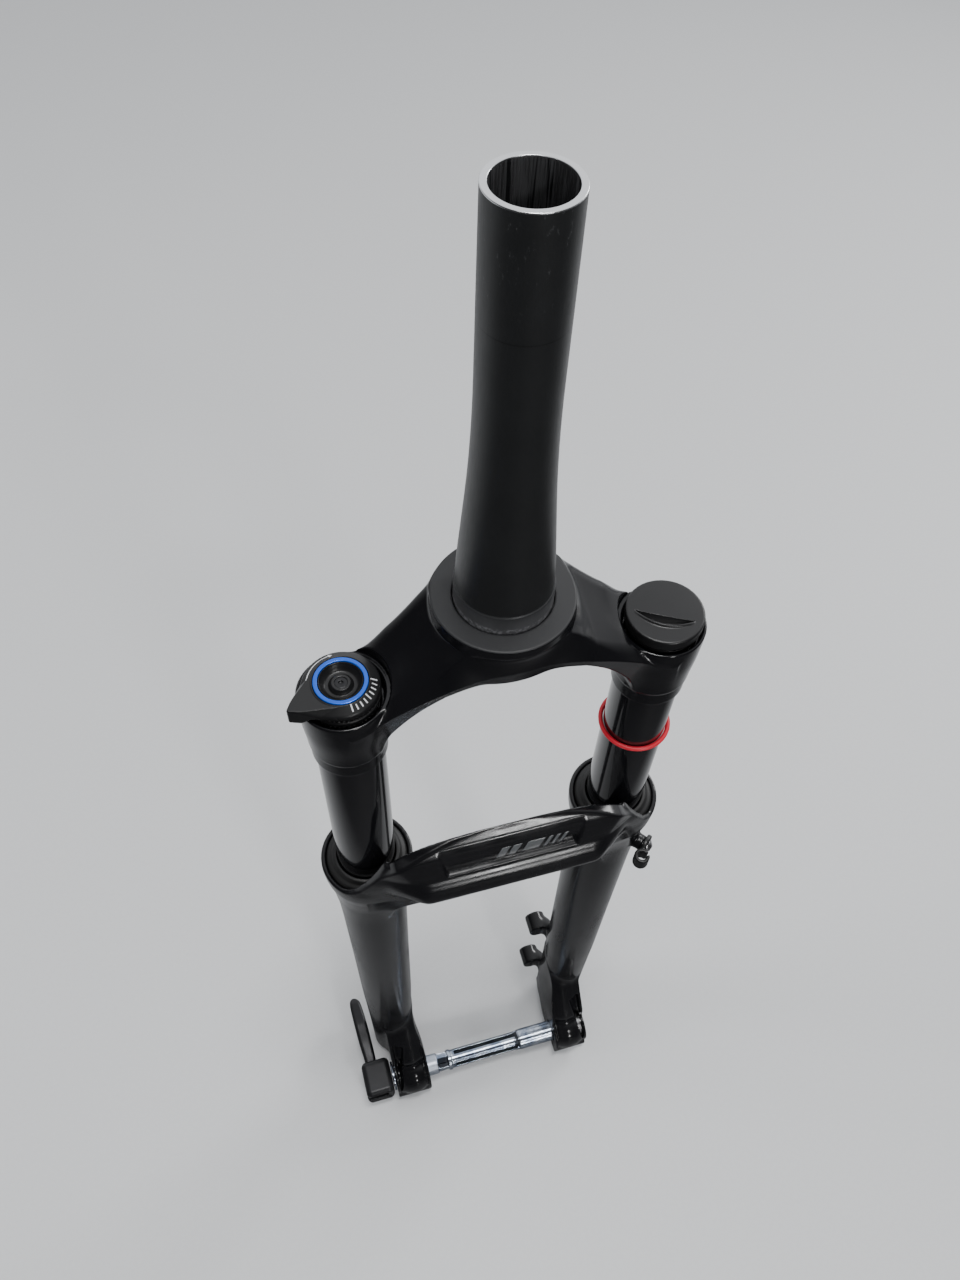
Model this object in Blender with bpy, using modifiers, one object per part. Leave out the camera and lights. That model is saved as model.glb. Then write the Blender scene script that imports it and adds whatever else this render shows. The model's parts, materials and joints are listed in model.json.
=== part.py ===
"""Air-sprung suspension fork for a mountain bike, as an assembly of separate pieces.

Units: the design values are millimetres, and MM turns them into Blender metres.
Fork datum: the centre of the crown race's seat on the steerer axis. +Z runs up the steerer,
-Y is forwards and +X is the rider's left, the side of the air spring and the brake.
"""

from math import cos, pi, radians, sin, tau

import bmesh
import bpy
from mathutils import Matrix, Vector

MM = 0.001
GAP = 0.3  # clearance between neighbouring pieces

# Driving dimensions of the chassis
LEG_X = 68.5  # stanchion axis, to each side of the steerer axis
LEG_Y = -10.0  # stanchion axis, in front of the steerer axis
AXLE_Y = -46.0
AXLE_Z = -523.0
HUB_GAP = 100.0
AXLE_R = 7.5

STEERER_TOP_Z = 172.0
STEERER_TOP_R = 14.3
STEERER_SEAT_R = 19.9
STEERER_BORE_R = 12.15
TAPER_TOP_Z = 78.0
SEAT_TOP_Z = 9.0

RACE_RING_R = 29.0
CROWN_FOOT_Z = -28.0
BOSS_TOP_Z = -28.0
BOSS_R = 20.5
BOSS_FOOT_Z = -71.0

STANCHION_R = 15.0
STANCHION_WALL = 1.8
STANCHION_TOP_Z = -37.0
STANCHION_FOOT_Z = -300.0
STANCHION_BORE_R = STANCHION_R - STANCHION_WALL

CUP_TOP_Z = -188.0
CUP_R = 24.0
LEG_FOOT_Z = -538.0
FOOT_FLOOR_TOP_Z = -506.0
FOOT_FLOOR_LOW_Z = -517.0
LINER_BORE_R = 16.3

ARCH_BACK_Y = -33.0
ARCH_FRONT_Y = -45.0
ARCH_TOP_Z = -142.0
ARCH_LOW_Z = -184.0

POST_X = 49.0
POST_FACE_Y = 16.0
POST_SPACING = 74.0
POST_HIGH_Z = -430.0
POST_R = 7.0
POST_ROOT_Y = 2.5  # behind the dropout, so that nothing stands on its inner face

REBOUND_KNOB_FOOT_Z = LEG_FOOT_Z - 9

KNOB_TOP_Z = -21.5
KNOB_FLANGE = 6.2
KNOB_R = 16.5
POINTER_R = 23.0
POINTER_ANGLE = radians(200)

TRAVEL_RING_Z = -110.7

SHAFT_R = 4.0
SHAFT_THREAD_R = 2.8
SHAFT_THREAD_TOP_Z = -480.0
BOLT_TIP_Z = -490.0
SEAL_HEAD_TOP_Z = -281.0
SEAL_HEAD_FOOT_Z = -296.0
AIR_PISTON_Z = -225.0
REBOUND_PISTON_Z = -245.0

CLIP_FACE_R = 25.0
CLIP_Z = -224.0
CLIP_HEADING = radians(-50)
CLIP_TURN = (0, pi / 2, CLIP_HEADING)

NUT_R = 9.5
DROPOUT_R = 15.0
DROPOUT_OUT_X = LEG_X + 7
HEAD_OUT_X = -99.0
HEAD_IN_X = -78.0
PIN_X = -90.0
LEVER_LENGTH = 62.0

# The row's origin is the middle of the base of the fork's box, so the fork datum stands here in it.
DATUM_IN_ROW = (
    -(HEAD_OUT_X + LEG_X + CUP_R) / 2,
    -(AXLE_Y - DROPOUT_R + RACE_RING_R) / 2,
    -REBOUND_KNOB_FOOT_Z,
)

FINE_STEPS = 28
ROUND_STEPS = 24
SMALL_STEPS = 12

PARTS = bpy.data.collections.new("suspension_fork")
CUTTERS = bpy.data.collections.new("cutters")


def clear_scene():
    for obj in list(bpy.data.objects):
        bpy.data.objects.remove(obj, do_unlink=True)
    for collection in (PARTS, CUTTERS):
        bpy.context.scene.collection.children.link(collection)


def make_material(name, colour, roughness, metallic):
    material = bpy.data.materials.new(name)
    material.use_nodes = True
    shader = material.node_tree.nodes["Principled BSDF"]
    shader.inputs["Base Color"].default_value = (*colour, 1.0)
    shader.inputs["Roughness"].default_value = roughness
    shader.inputs["Metallic"].default_value = metallic
    return material


FINISHES = {
    "gloss_black_paint": ((0.012, 0.012, 0.014), 0.18, 0.0),
    "satin_black_steerer": ((0.045, 0.047, 0.05), 0.42, 0.6),
    "black_stanchion": ((0.015, 0.015, 0.018), 0.12, 0.85),
    "black_anodised": ((0.03, 0.03, 0.032), 0.35, 0.7),
    "black_plastic": ((0.02, 0.02, 0.021), 0.45, 0.0),
    "blue_anodised": ((0.03, 0.16, 0.75), 0.3, 0.8),
    "red_rubber": ((0.6, 0.02, 0.03), 0.4, 0.0),
    "black_rubber": ((0.02, 0.02, 0.02), 0.6, 0.0),
    "foam": ((0.12, 0.12, 0.11), 0.95, 0.0),
    "bushing_bronze": ((0.45, 0.32, 0.2), 0.4, 0.9),
    "raw_aluminium": ((0.72, 0.74, 0.77), 0.3, 1.0),
    "steel": ((0.55, 0.56, 0.57), 0.25, 1.0),
    "brass": ((0.75, 0.58, 0.28), 0.3, 1.0),
    "nylon": ((0.75, 0.74, 0.7), 0.5, 0.0),
    "urethane": ((0.75, 0.62, 0.25), 0.5, 0.0),
    "red_anodised": ((0.55, 0.03, 0.03), 0.3, 0.8),
}
MATERIALS = {}


def place(obj, finish, parent, collection=PARTS):
    """Links the object, gives it its finish and hangs it on its body's empty, in fork coordinates."""
    collection.objects.link(obj)
    if collection is CUTTERS:
        obj.hide_render = True
        obj.display_type = "WIRE"
    if finish:
        obj.data.materials.append(MATERIALS[finish])
    obj.parent = parent
    if parent:
        obj.matrix_parent_inverse = Matrix.Translation(-Vector(parent["fork_point"]) * MM)
    return obj


def make_empty(name, point, parent=None):
    """An empty on a joint's axis, at a point in fork millimetres."""
    empty = bpy.data.objects.new(name, None)
    PARTS.objects.link(empty)
    empty["fork_point"] = point
    if parent:
        empty.parent = parent
        empty.location = (Vector(point) - Vector(parent["fork_point"])) * MM
    return empty


def mesh_object(name, points, edges=(), faces=()):
    mesh = bpy.data.meshes.new(name)
    mesh.from_pydata([Vector(p) * MM for p in points], edges, faces)
    return bpy.data.objects.new(name, mesh)


def turned(name, profile, finish=None, parent=None, centre=(0, 0, 0), along="Z",
           steps=ROUND_STEPS, collection=PARTS):
    """A turned piece. The profile's (radius, height) points run down the outer side and, when the
    piece has a bore, back up the inner side. A solid piece's profile starts and ends on the axis."""
    closed = profile[0][0] > 0
    edges = [(i, i + 1) for i in range(len(profile) - 1)]
    if closed:
        edges.append((len(profile) - 1, 0))
    obj = mesh_object(name, [(r, 0, z) for r, z in profile], edges)
    place(obj, finish, parent, collection)
    screw = obj.modifiers.new("Screw", "SCREW")
    screw.axis = "Z"
    screw.steps = screw.render_steps = steps
    screw.use_merge_vertices = True
    screw.merge_threshold = 1e-5
    screw.use_smooth_shade = True
    obj.location = Vector(centre) * MM
    if along == "X":
        obj.rotation_euler = (0, pi / 2, 0)
    if along == "Y":
        obj.rotation_euler = (-pi / 2, 0, 0)
    return obj


def tube_profile(outer, inner, top, foot, chamfer=0.0):
    c = chamfer
    if not c:
        return [(outer, top), (outer, foot), (inner, foot), (inner, top)]
    return [(outer - c, top), (outer, top - c), (outer, foot + c), (outer - c, foot), (inner, foot),
            (inner, top)]


def rod_profile(radius, top, foot, chamfer=0.0):
    c = chamfer
    if not c:
        return [(0, top), (radius, top), (radius, foot), (0, foot)]
    return [(0, top), (radius - c, top), (radius, top - c), (radius, foot + c), (radius - c, foot),
            (0, foot)]


def box(name, low, high, finish=None, parent=None, collection=PARTS):
    mesh = bpy.data.meshes.new(name)
    shape = bmesh.new()
    bmesh.ops.create_cube(shape, size=1.0)
    low, high = Vector(low) * MM, Vector(high) * MM
    size = high - low
    bmesh.ops.scale(shape, vec=size, verts=shape.verts)
    shape.to_mesh(mesh)
    shape.free()
    obj = bpy.data.objects.new(name, mesh)
    place(obj, finish, parent, collection)
    obj.location = (low + high) / 2
    return obj


def round_edges(obj, width, segments=2, angle=35):
    bevel = obj.modifiers.new("Bevel", "BEVEL")
    bevel.width = width * MM
    bevel.segments = segments
    bevel.limit_method = "ANGLE"
    bevel.angle_limit = radians(angle)
    return bevel


def loft(name, sections, finish=None, parent=None, collection=PARTS):
    """A closed solid through sections that have the same number of points."""
    count = len(sections[0])
    points = [p for section in sections for p in section]
    faces = []
    for ring in range(len(sections) - 1):
        for i in range(count):
            j = (i + 1) % count
            a, b = ring * count, (ring + 1) * count
            faces.append((a + i, a + j, b + j, b + i))
    faces.append(tuple(reversed(range(count))))
    faces.append(tuple(range((len(sections) - 1) * count, len(sections) * count)))
    obj = mesh_object(name, points, faces=faces)
    shape = bmesh.new()
    shape.from_mesh(obj.data)
    bmesh.ops.recalc_face_normals(shape, faces=shape.faces)
    shape.to_mesh(obj.data)
    shape.free()
    return place(obj, finish, parent, collection)


def extruded_outline(name, outline, thickness, finish=None, parent=None, collection=PARTS):
    """A flat outline given as (across, along) points, filled and given a thickness, as a mesh."""
    curve = bpy.data.curves.new(name, "CURVE")
    curve.dimensions = "2D"
    curve.fill_mode = "BOTH"
    curve.extrude = thickness * MM / 2
    spline = curve.splines.new("POLY")
    spline.points.add(len(outline) - 1)
    for point, (x, y) in zip(spline.points, outline):
        point.co = (x * MM, y * MM, 0, 1)
    spline.use_cyclic_u = True
    guide = bpy.data.objects.new(name + "_outline", curve)
    bpy.context.scene.collection.objects.link(guide)
    graph = bpy.context.evaluated_depsgraph_get()
    mesh = bpy.data.meshes.new_from_object(guide.evaluated_get(graph))
    bpy.data.objects.remove(guide, do_unlink=True)
    shape = bmesh.new()
    shape.from_mesh(mesh)
    bmesh.ops.remove_doubles(shape, verts=shape.verts, dist=1e-6)
    bmesh.ops.recalc_face_normals(shape, faces=shape.faces)
    shape.to_mesh(mesh)
    shape.free()
    return place(bpy.data.objects.new(name, mesh), finish, parent, collection)


def boolean(obj, other, operation):
    modifier = obj.modifiers.new(other.name, "BOOLEAN")
    modifier.operation = operation
    modifier.object = other
    modifier.solver = "MANIFOLD"  # EXACT leaves thin gaps where many coaxial turned shapes meet


def cut(obj, *cutters):
    for cutter in cutters:
        boolean(obj, cutter, "DIFFERENCE")


def join(obj, *others):
    for other in others:
        boolean(obj, other, "UNION")


def arc(centre_a, centre_b, radius, start, end, count):
    """Points on an arc, from one angle to another in degrees."""
    steps = [radians(start + (end - start) * i / (count - 1)) for i in range(count)]
    return [(centre_a + radius * cos(t), centre_b + radius * sin(t)) for t in steps]


def blend_values(stops, at):
    """The value at a place along (place, value) stops, in straight lines between them."""
    for (a, low), (b, high) in zip(stops, stops[1:]):
        if at <= b:
            return low + (high - low) * max(0.0, at - a) / (b - a)
    return stops[-1][1]


def soft_box_section(x, y_low, y_high, z_low, z_high, power=3.2, count=20):
    """A superellipse in the plane at x, which fills the given box with rounded corners."""
    points = []
    for i in range(count):
        t = tau * (i + 0.5) / count
        c, s = cos(t), sin(t)
        across = abs(c) ** (2 / power) * (1 if c > 0 else -1)
        up = abs(s) ** (2 / power) * (1 if s > 0 else -1)
        points.append((x, (y_low + y_high) / 2 + across * (y_high - y_low) / 2,
                       (z_low + z_high) / 2 + up * (z_high - z_low) / 2))
    return points


# ---------------------------------------------------------------- steerer and crown


def build_steerer(root):
    profile = [
        (STEERER_TOP_R - 0.6, STEERER_TOP_Z),
        (STEERER_TOP_R, STEERER_TOP_Z - 0.6),
        (STEERER_TOP_R, TAPER_TOP_Z),
        (19.4, SEAT_TOP_Z + 1.5),
        (STEERER_SEAT_R, SEAT_TOP_Z),
        (STEERER_SEAT_R, CROWN_FOOT_Z + 1),
        (16.4, CROWN_FOOT_Z + 1),
        (16.4, 8.0),
        (STEERER_BORE_R, TAPER_TOP_Z - 6),
        (STEERER_BORE_R, STEERER_TOP_Z),
    ]
    turned("steerer_tube", profile, "satin_black_steerer", root, steps=FINE_STEPS)


ARM_TOP = [(0, -3), (22, -5), (32, -9), (42, -16), (52, -23), (62, -29), (70, -30)]
ARM_LOW = [(0, -26), (18, -25), (28, -28), (38, -34), (46, -42), (53, -54), (60, -66), (70, -66)]
ARM_FRONT = [(0, -25), (20, -26), (40, -27.5), (60, -28.5), (70, -27)]
ARM_BACK = [(0, 24), (15, 21), (26, 15), (38, 11), (50, 8.5), (70, 6)]


def crown_arm_section(x):
    at = abs(x)
    return soft_box_section(x, blend_values(ARM_FRONT, at), blend_values(ARM_BACK, at),
                            blend_values(ARM_LOW, at), blend_values(ARM_TOP, at))


def build_crown(root):
    stations = [-70, -62, -54, -46, -38, -30, -22, -10, 10, 22, 30, 38, 46, 54, 62, 70]
    crown = loft("crown", [crown_arm_section(x) for x in stations], "gloss_black_paint", root)
    centre = turned("crown_centre_boss", [
        (0, 0), (RACE_RING_R - 0.8, 0), (RACE_RING_R, -0.8), (RACE_RING_R, -7), (27, -10), (25.5, -19),
        (22.5, CROWN_FOOT_Z), (0, CROWN_FOOT_Z),
    ], parent=root, steps=FINE_STEPS, collection=CUTTERS)
    join(crown, centre)
    bore = turned("steerer_bore", rod_profile(STEERER_SEAT_R + GAP, 5, CROWN_FOOT_Z - 5), parent=root,
                  steps=FINE_STEPS, collection=CUTTERS)
    for side in (-1, 1):
        where = (side * LEG_X, LEG_Y, 0)
        boss = turned(f"crown_boss_{side}", [
            (0, BOSS_TOP_Z), (BOSS_R - 1, BOSS_TOP_Z), (BOSS_R, BOSS_TOP_Z - 1), (BOSS_R, -60.5),
            (18.4, -64), (18.4, BOSS_FOOT_Z + 1), (17.6, BOSS_FOOT_Z), (0, BOSS_FOOT_Z),
        ], parent=root, centre=where, steps=FINE_STEPS, collection=CUTTERS)
        join(crown, boss)
    cut(crown, bore)
    for side in (-1, 1):
        where = (side * LEG_X, LEG_Y, 0)
        socket = turned(f"stanchion_socket_{side}", [
            (0, 0), (17.6, 0), (17.6, STANCHION_TOP_Z + 1.5), (STANCHION_R + GAP, STANCHION_TOP_Z + 1.5),
            (STANCHION_R + GAP, BOSS_FOOT_Z - 5), (0, BOSS_FOOT_Z - 5),
        ], parent=root, centre=where, steps=FINE_STEPS, collection=CUTTERS)
        cut(crown, socket)


def build_stanchions(root):
    for name, side in (("air_stanchion", 1), ("damper_stanchion", -1)):
        turned(name, tube_profile(STANCHION_R, STANCHION_BORE_R, STANCHION_TOP_Z, STANCHION_FOOT_Z, 0.5),
               "black_stanchion", root, (side * LEG_X, LEG_Y, 0))


def build_seal_head(name, where, root):
    """The head that closes a stanchion's foot round its shaft, with the ring that holds it in."""
    head = tube_profile(STANCHION_BORE_R - GAP, SHAFT_R + GAP, SEAL_HEAD_TOP_Z, SEAL_HEAD_FOOT_Z, 0.8)
    turned(f"{name}_seal_head", head, "black_anodised", root, where, steps=SMALL_STEPS)
    ring = tube_profile(12.4, 9.5, SEAL_HEAD_FOOT_Z - 0.4, SEAL_HEAD_FOOT_Z - 2)
    turned(f"{name}_retaining_ring", ring, "steel", root, where, steps=SMALL_STEPS)


# ---------------------------------------------------------------- air spring


def build_air_side(root, valve, cap, lowers):
    where = (LEG_X, LEG_Y, 0)
    shoulder = STANCHION_TOP_Z + GAP
    turned("air_top_cap", [
        (4.2, -27.5), (4.2, -33), (14.8, shoulder + 2), (14.8, shoulder), (STANCHION_BORE_R - GAP, shoulder),
        (STANCHION_BORE_R - GAP, -55), (6.0, -55), (6.0, -50), (1.6, -50), (1.6, -27.5),
    ], "black_anodised", root, where, steps=SMALL_STEPS)
    turned("valve_pin", rod_profile(1.1, -27.8, -49), "brass", valve, where, steps=12)
    air_cap = turned("air_cap", [
        (0, -22), (14.4, -22), (15.4, -23), (15.4, -33), (8.5, -33), (8.5, -32), (5.0, -28.5), (5.0, -26),
        (0, -26),
    ], "black_plastic", cap, where, steps=ROUND_STEPS)
    grip = [(x, 2.6 * (1 - (x / 13.5) ** 2)) for x in (-13.5, -9, -4.5, 0, 4.5, 9, 13.5)]
    grip += [(x, -2.6 * (1 - (x / 13.5) ** 2)) for x in (9, 4.5, 0, -4.5, -9)]
    recess = extruded_outline("grip_recess", grip, 3.0, parent=cap, collection=CUTTERS)
    recess.location = Vector((LEG_X, LEG_Y - 3.5, -21.7)) * MM
    cut(air_cap, recess)
    turned("volume_spacer", tube_profile(12.2, 5.0, -57, -84, 1.0), "nylon", root, where, steps=SMALL_STEPS)
    build_seal_head("air", where, root)
    turned("air_shaft", [
        (0, AIR_PISTON_Z - 6.3), (SHAFT_R, AIR_PISTON_Z - 6.3), (SHAFT_R, FOOT_FLOOR_TOP_Z + GAP),
        (SHAFT_THREAD_R, FOOT_FLOOR_TOP_Z + GAP), (SHAFT_THREAD_R, SHAFT_THREAD_TOP_Z),
        (0, SHAFT_THREAD_TOP_Z),
    ], "raw_aluminium", lowers, where, steps=SMALL_STEPS)
    turned("air_piston", [
        (0, AIR_PISTON_Z + 6), (11.5, AIR_PISTON_Z + 6), (12.7, AIR_PISTON_Z + 4.5),
        (12.7, AIR_PISTON_Z + 2.2), (10.4, AIR_PISTON_Z + 2.2), (10.4, AIR_PISTON_Z - 2.2),
        (12.7, AIR_PISTON_Z - 2.2), (12.7, AIR_PISTON_Z - 6), (0, AIR_PISTON_Z - 6),
    ], "black_plastic", lowers, where, steps=SMALL_STEPS)
    turned("air_piston_seal", tube_profile(12.95, 10.7, AIR_PISTON_Z + 1.9, AIR_PISTON_Z - 1.9, 0.5),
           "black_rubber", lowers, where, steps=SMALL_STEPS)
    turned("top_out_bumper", tube_profile(9.0, SHAFT_R + GAP, AIR_PISTON_Z - 6.5, AIR_PISTON_Z - 22, 1.5),
           "urethane", lowers, where, steps=SMALL_STEPS)
    turned("bottom_out_bumper", tube_profile(9.0, SHAFT_R + GAP, -478, -502, 2.0), "urethane", lowers, where,
           steps=SMALL_STEPS)


# ---------------------------------------------------------------- damper


def hexagon(across_flats):
    corner = across_flats / 2 / cos(pi / 6)
    return arc(0, 0, corner, 0, 300, 6)


def knob_outline():
    """A circle that draws out into a pointer on one side."""
    half = 32
    rim = arc(0, 0, KNOB_R, half, 360 - half, 23)
    tip = [(POINTER_R, -1.3), (POINTER_R, 1.3)]
    turn = Matrix.Rotation(POINTER_ANGLE, 2)
    return [tuple(turn @ Vector(p)) for p in rim + tip]


def build_damper_side(root, knob, lowers, rebound):
    where = (-LEG_X, LEG_Y, 0)
    shoulder = STANCHION_TOP_Z + GAP
    turned("damper_top_cap", [
        (14.8, shoulder + 2), (14.8, shoulder), (STANCHION_BORE_R - GAP, shoulder),
        (STANCHION_BORE_R - GAP, -56), (3.0, -56), (3.0, shoulder + 2),
    ], "black_anodised", root, where, steps=SMALL_STEPS)
    body = extruded_outline("compression_knob", knob_outline(), KNOB_FLANGE, "black_plastic", knob)
    body.location = Vector((-LEG_X, LEG_Y, KNOB_TOP_Z - KNOB_FLANGE / 2)) * MM
    skirt = turned("knob_skirt", rod_profile(KNOB_R - 0.8, KNOB_TOP_Z - 3, -33.5), parent=knob, centre=where,
                   steps=ROUND_STEPS, collection=CUTTERS)
    dish = turned("knob_dish", [
        (0, KNOB_TOP_Z + 3), (8.8, KNOB_TOP_Z + 3), (8.8, KNOB_TOP_Z - 1.2), (3.6, KNOB_TOP_Z - 3.0),
        (0, KNOB_TOP_Z - 3.0),
    ], parent=knob, centre=where, steps=SMALL_STEPS, collection=CUTTERS)
    groove = turned("knob_ring_groove", tube_profile(11.3, 8.5, KNOB_TOP_Z + 3, KNOB_TOP_Z - 1.6),
                    parent=knob, centre=where, steps=ROUND_STEPS, collection=CUTTERS)
    socket = turned("knob_socket", [
        (0, -26), (3.1, -26), (3.1, -29), (12.5, -29), (12.5, -40), (0, -40),
    ], parent=knob, centre=where, steps=SMALL_STEPS, collection=CUTTERS)
    screw_hole = turned("knob_screw_hole", rod_profile(1.5, 0, -40), parent=knob, centre=where, steps=12,
                        collection=CUTTERS)
    round_edges(body, 0.6, segments=1)
    join(body, skirt)
    cut(body, groove, dish, socket, screw_hole)
    turned("knob_trim_ring", tube_profile(11.0, 9.1, KNOB_TOP_Z + 1.3, KNOB_TOP_Z - 1.3, 0.5),
           "blue_anodised", knob, where, steps=ROUND_STEPS)
    turned("knob_screw", [
        (0, KNOB_TOP_Z - 1.4), (2.4, KNOB_TOP_Z - 1.4), (2.6, KNOB_TOP_Z - 2.7), (1.2, KNOB_TOP_Z - 2.7),
        (1.2, -30.5), (0, -30.5),
    ], "steel", knob, where, steps=12)
    turned("compression_spindle", [
        (0, -31), (1.6, -31), (1.6, -26.5), (2.7, -26.5), (2.7, -90), (0, -90),
    ], "raw_aluminium", knob, where, steps=12)
    turned("compression_piston", [
        (12.7, -80), (12.7, -84), (10.8, -84), (10.8, -92), (12.7, -92), (12.7, -96), (3.1, -96), (3.1, -80),
    ], "black_anodised", root, where, steps=SMALL_STEPS)
    build_seal_head("damper", where, root)
    top = REBOUND_PISTON_Z
    turned("rebound_shaft", [
        (SHAFT_R, top - 6.3), (SHAFT_R, FOOT_FLOOR_TOP_Z + GAP), (SHAFT_THREAD_R, FOOT_FLOOR_TOP_Z + GAP),
        (SHAFT_THREAD_R, SHAFT_THREAD_TOP_Z), (1.9, SHAFT_THREAD_TOP_Z), (1.9, top - 6.3),
    ], "raw_aluminium", lowers, where, steps=SMALL_STEPS)
    turned("rebound_piston", [
        (12.0, top + 6), (12.0, top + 2), (10.4, top + 2), (10.4, top - 2), (12.0, top - 2), (12.0, top - 6),
        (1.9, top - 6), (1.9, top + 6),
    ], "raw_aluminium", lowers, where, steps=SMALL_STEPS)
    turned("rebound_piston_ring", tube_profile(12.95, 10.7, top + 1.7, top - 1.7), "nylon", lowers, where,
           steps=SMALL_STEPS)
    turned("rebound_adjuster_rod", rod_profile(1.4, top + 4, -533), "steel", rebound, where, steps=12)
    knob_foot = REBOUND_KNOB_FOOT_Z
    rebound_knob = turned("rebound_knob", [
        (0, -534), (1.7, -534), (1.7, -531), (4.6, -531), (4.6, -539.2), (7.4, -539.2), (8.2, -540),
        (8.2, knob_foot + 1), (7.2, knob_foot), (0, knob_foot),
    ], "red_anodised", rebound, where, steps=SMALL_STEPS)
    hex_hole = extruded_outline("rebound_knob_hex", hexagon(2.5), 6, parent=rebound, collection=CUTTERS)
    hex_hole.location = Vector((-LEG_X, LEG_Y, knob_foot)) * MM
    cut(rebound_knob, hex_hole)


def build_travel_ring(travel_ring):
    cord = 1.15
    turned("travel_ring", [
        (STANCHION_R + 0.2 + cord * (1 + cos(radians(a))), TRAVEL_RING_Z + cord * sin(radians(a)))
        for a in range(0, -360, -60)
    ], "red_rubber", travel_ring, (LEG_X, LEG_Y, 0))


# ---------------------------------------------------------------- lower casting


LEG_PROFILE = [
    (0, CUP_TOP_Z), (CUP_R - 0.5, CUP_TOP_Z), (CUP_R, CUP_TOP_Z - 1), (CUP_R, -194), (21.6, -209),
    (19.8, -224), (18.9, -245), (18.3, -300), (17.7, -345), (17.2, -418), (16.2, -440), (15.3, -500),
    (15.0, LEG_FOOT_Z), (0, LEG_FOOT_Z),
]
LEG_BORE = [
    (0, -180), (21.3, -180), (21.3, -200), (18.6, -200), (18.6, -206), (LINER_BORE_R, -206),
    (LINER_BORE_R, -297), (15.5, -299), (15.5, -412), (10.5, -424), (10.5, FOOT_FLOOR_TOP_Z),
    (0, FOOT_FLOOR_TOP_Z),
]


def arch_section(x):
    at = abs(x)
    low = blend_values([(0, ARCH_LOW_Z), (36, ARCH_LOW_Z - 2), (50, -198), (60, -212), (72, -226)], at)
    top = blend_values([(0, ARCH_TOP_Z), (52, ARCH_TOP_Z - 2), (62, -152), (72, -186)], at)
    front = blend_values([(0, ARCH_FRONT_Y), (40, ARCH_FRONT_Y + 1), (56, -42), (72, -36)], at)
    back = blend_values([(0, ARCH_BACK_Y), (62, ARCH_BACK_Y), (72, -29)], at)
    chamfer = 3.0
    return [
        (x, back, top), (x, front + 5, top - 1), (x, front + 1.5, top - 4), (x, front, low + 12),
        (x, front + chamfer, low + 3), (x, front + 2 * chamfer, low), (x, back, low + 2),
    ]


def dropout_outline():
    """Side view of a dropout as (y, z): a rounded axle boss in front of the leg's foot."""
    nose = arc(AXLE_Y, AXLE_Z, DROPOUT_R, 120, 240, 9)
    foot = LEG_FOOT_Z + 0.7
    return [(LEG_Y - 10, -468), (AXLE_Y + 6, -496)] + nose + [
        (AXLE_Y - 4, foot), (LEG_Y + 10, foot), (LEG_Y + 11, -500),
    ]


def sideways_plate(name, outline, x_low, x_high, parent, collection):
    """A (y, z) outline given a width along X."""
    plate = extruded_outline(name, outline, x_high - x_low, parent=parent, collection=collection)
    to_yz = Matrix(((0, 0, 1), (1, 0, 0), (0, 1, 0)))
    plate.rotation_euler = to_yz.to_euler()
    plate.location = Vector(((x_low + x_high) / 2, 0, 0)) * MM
    return plate


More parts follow.
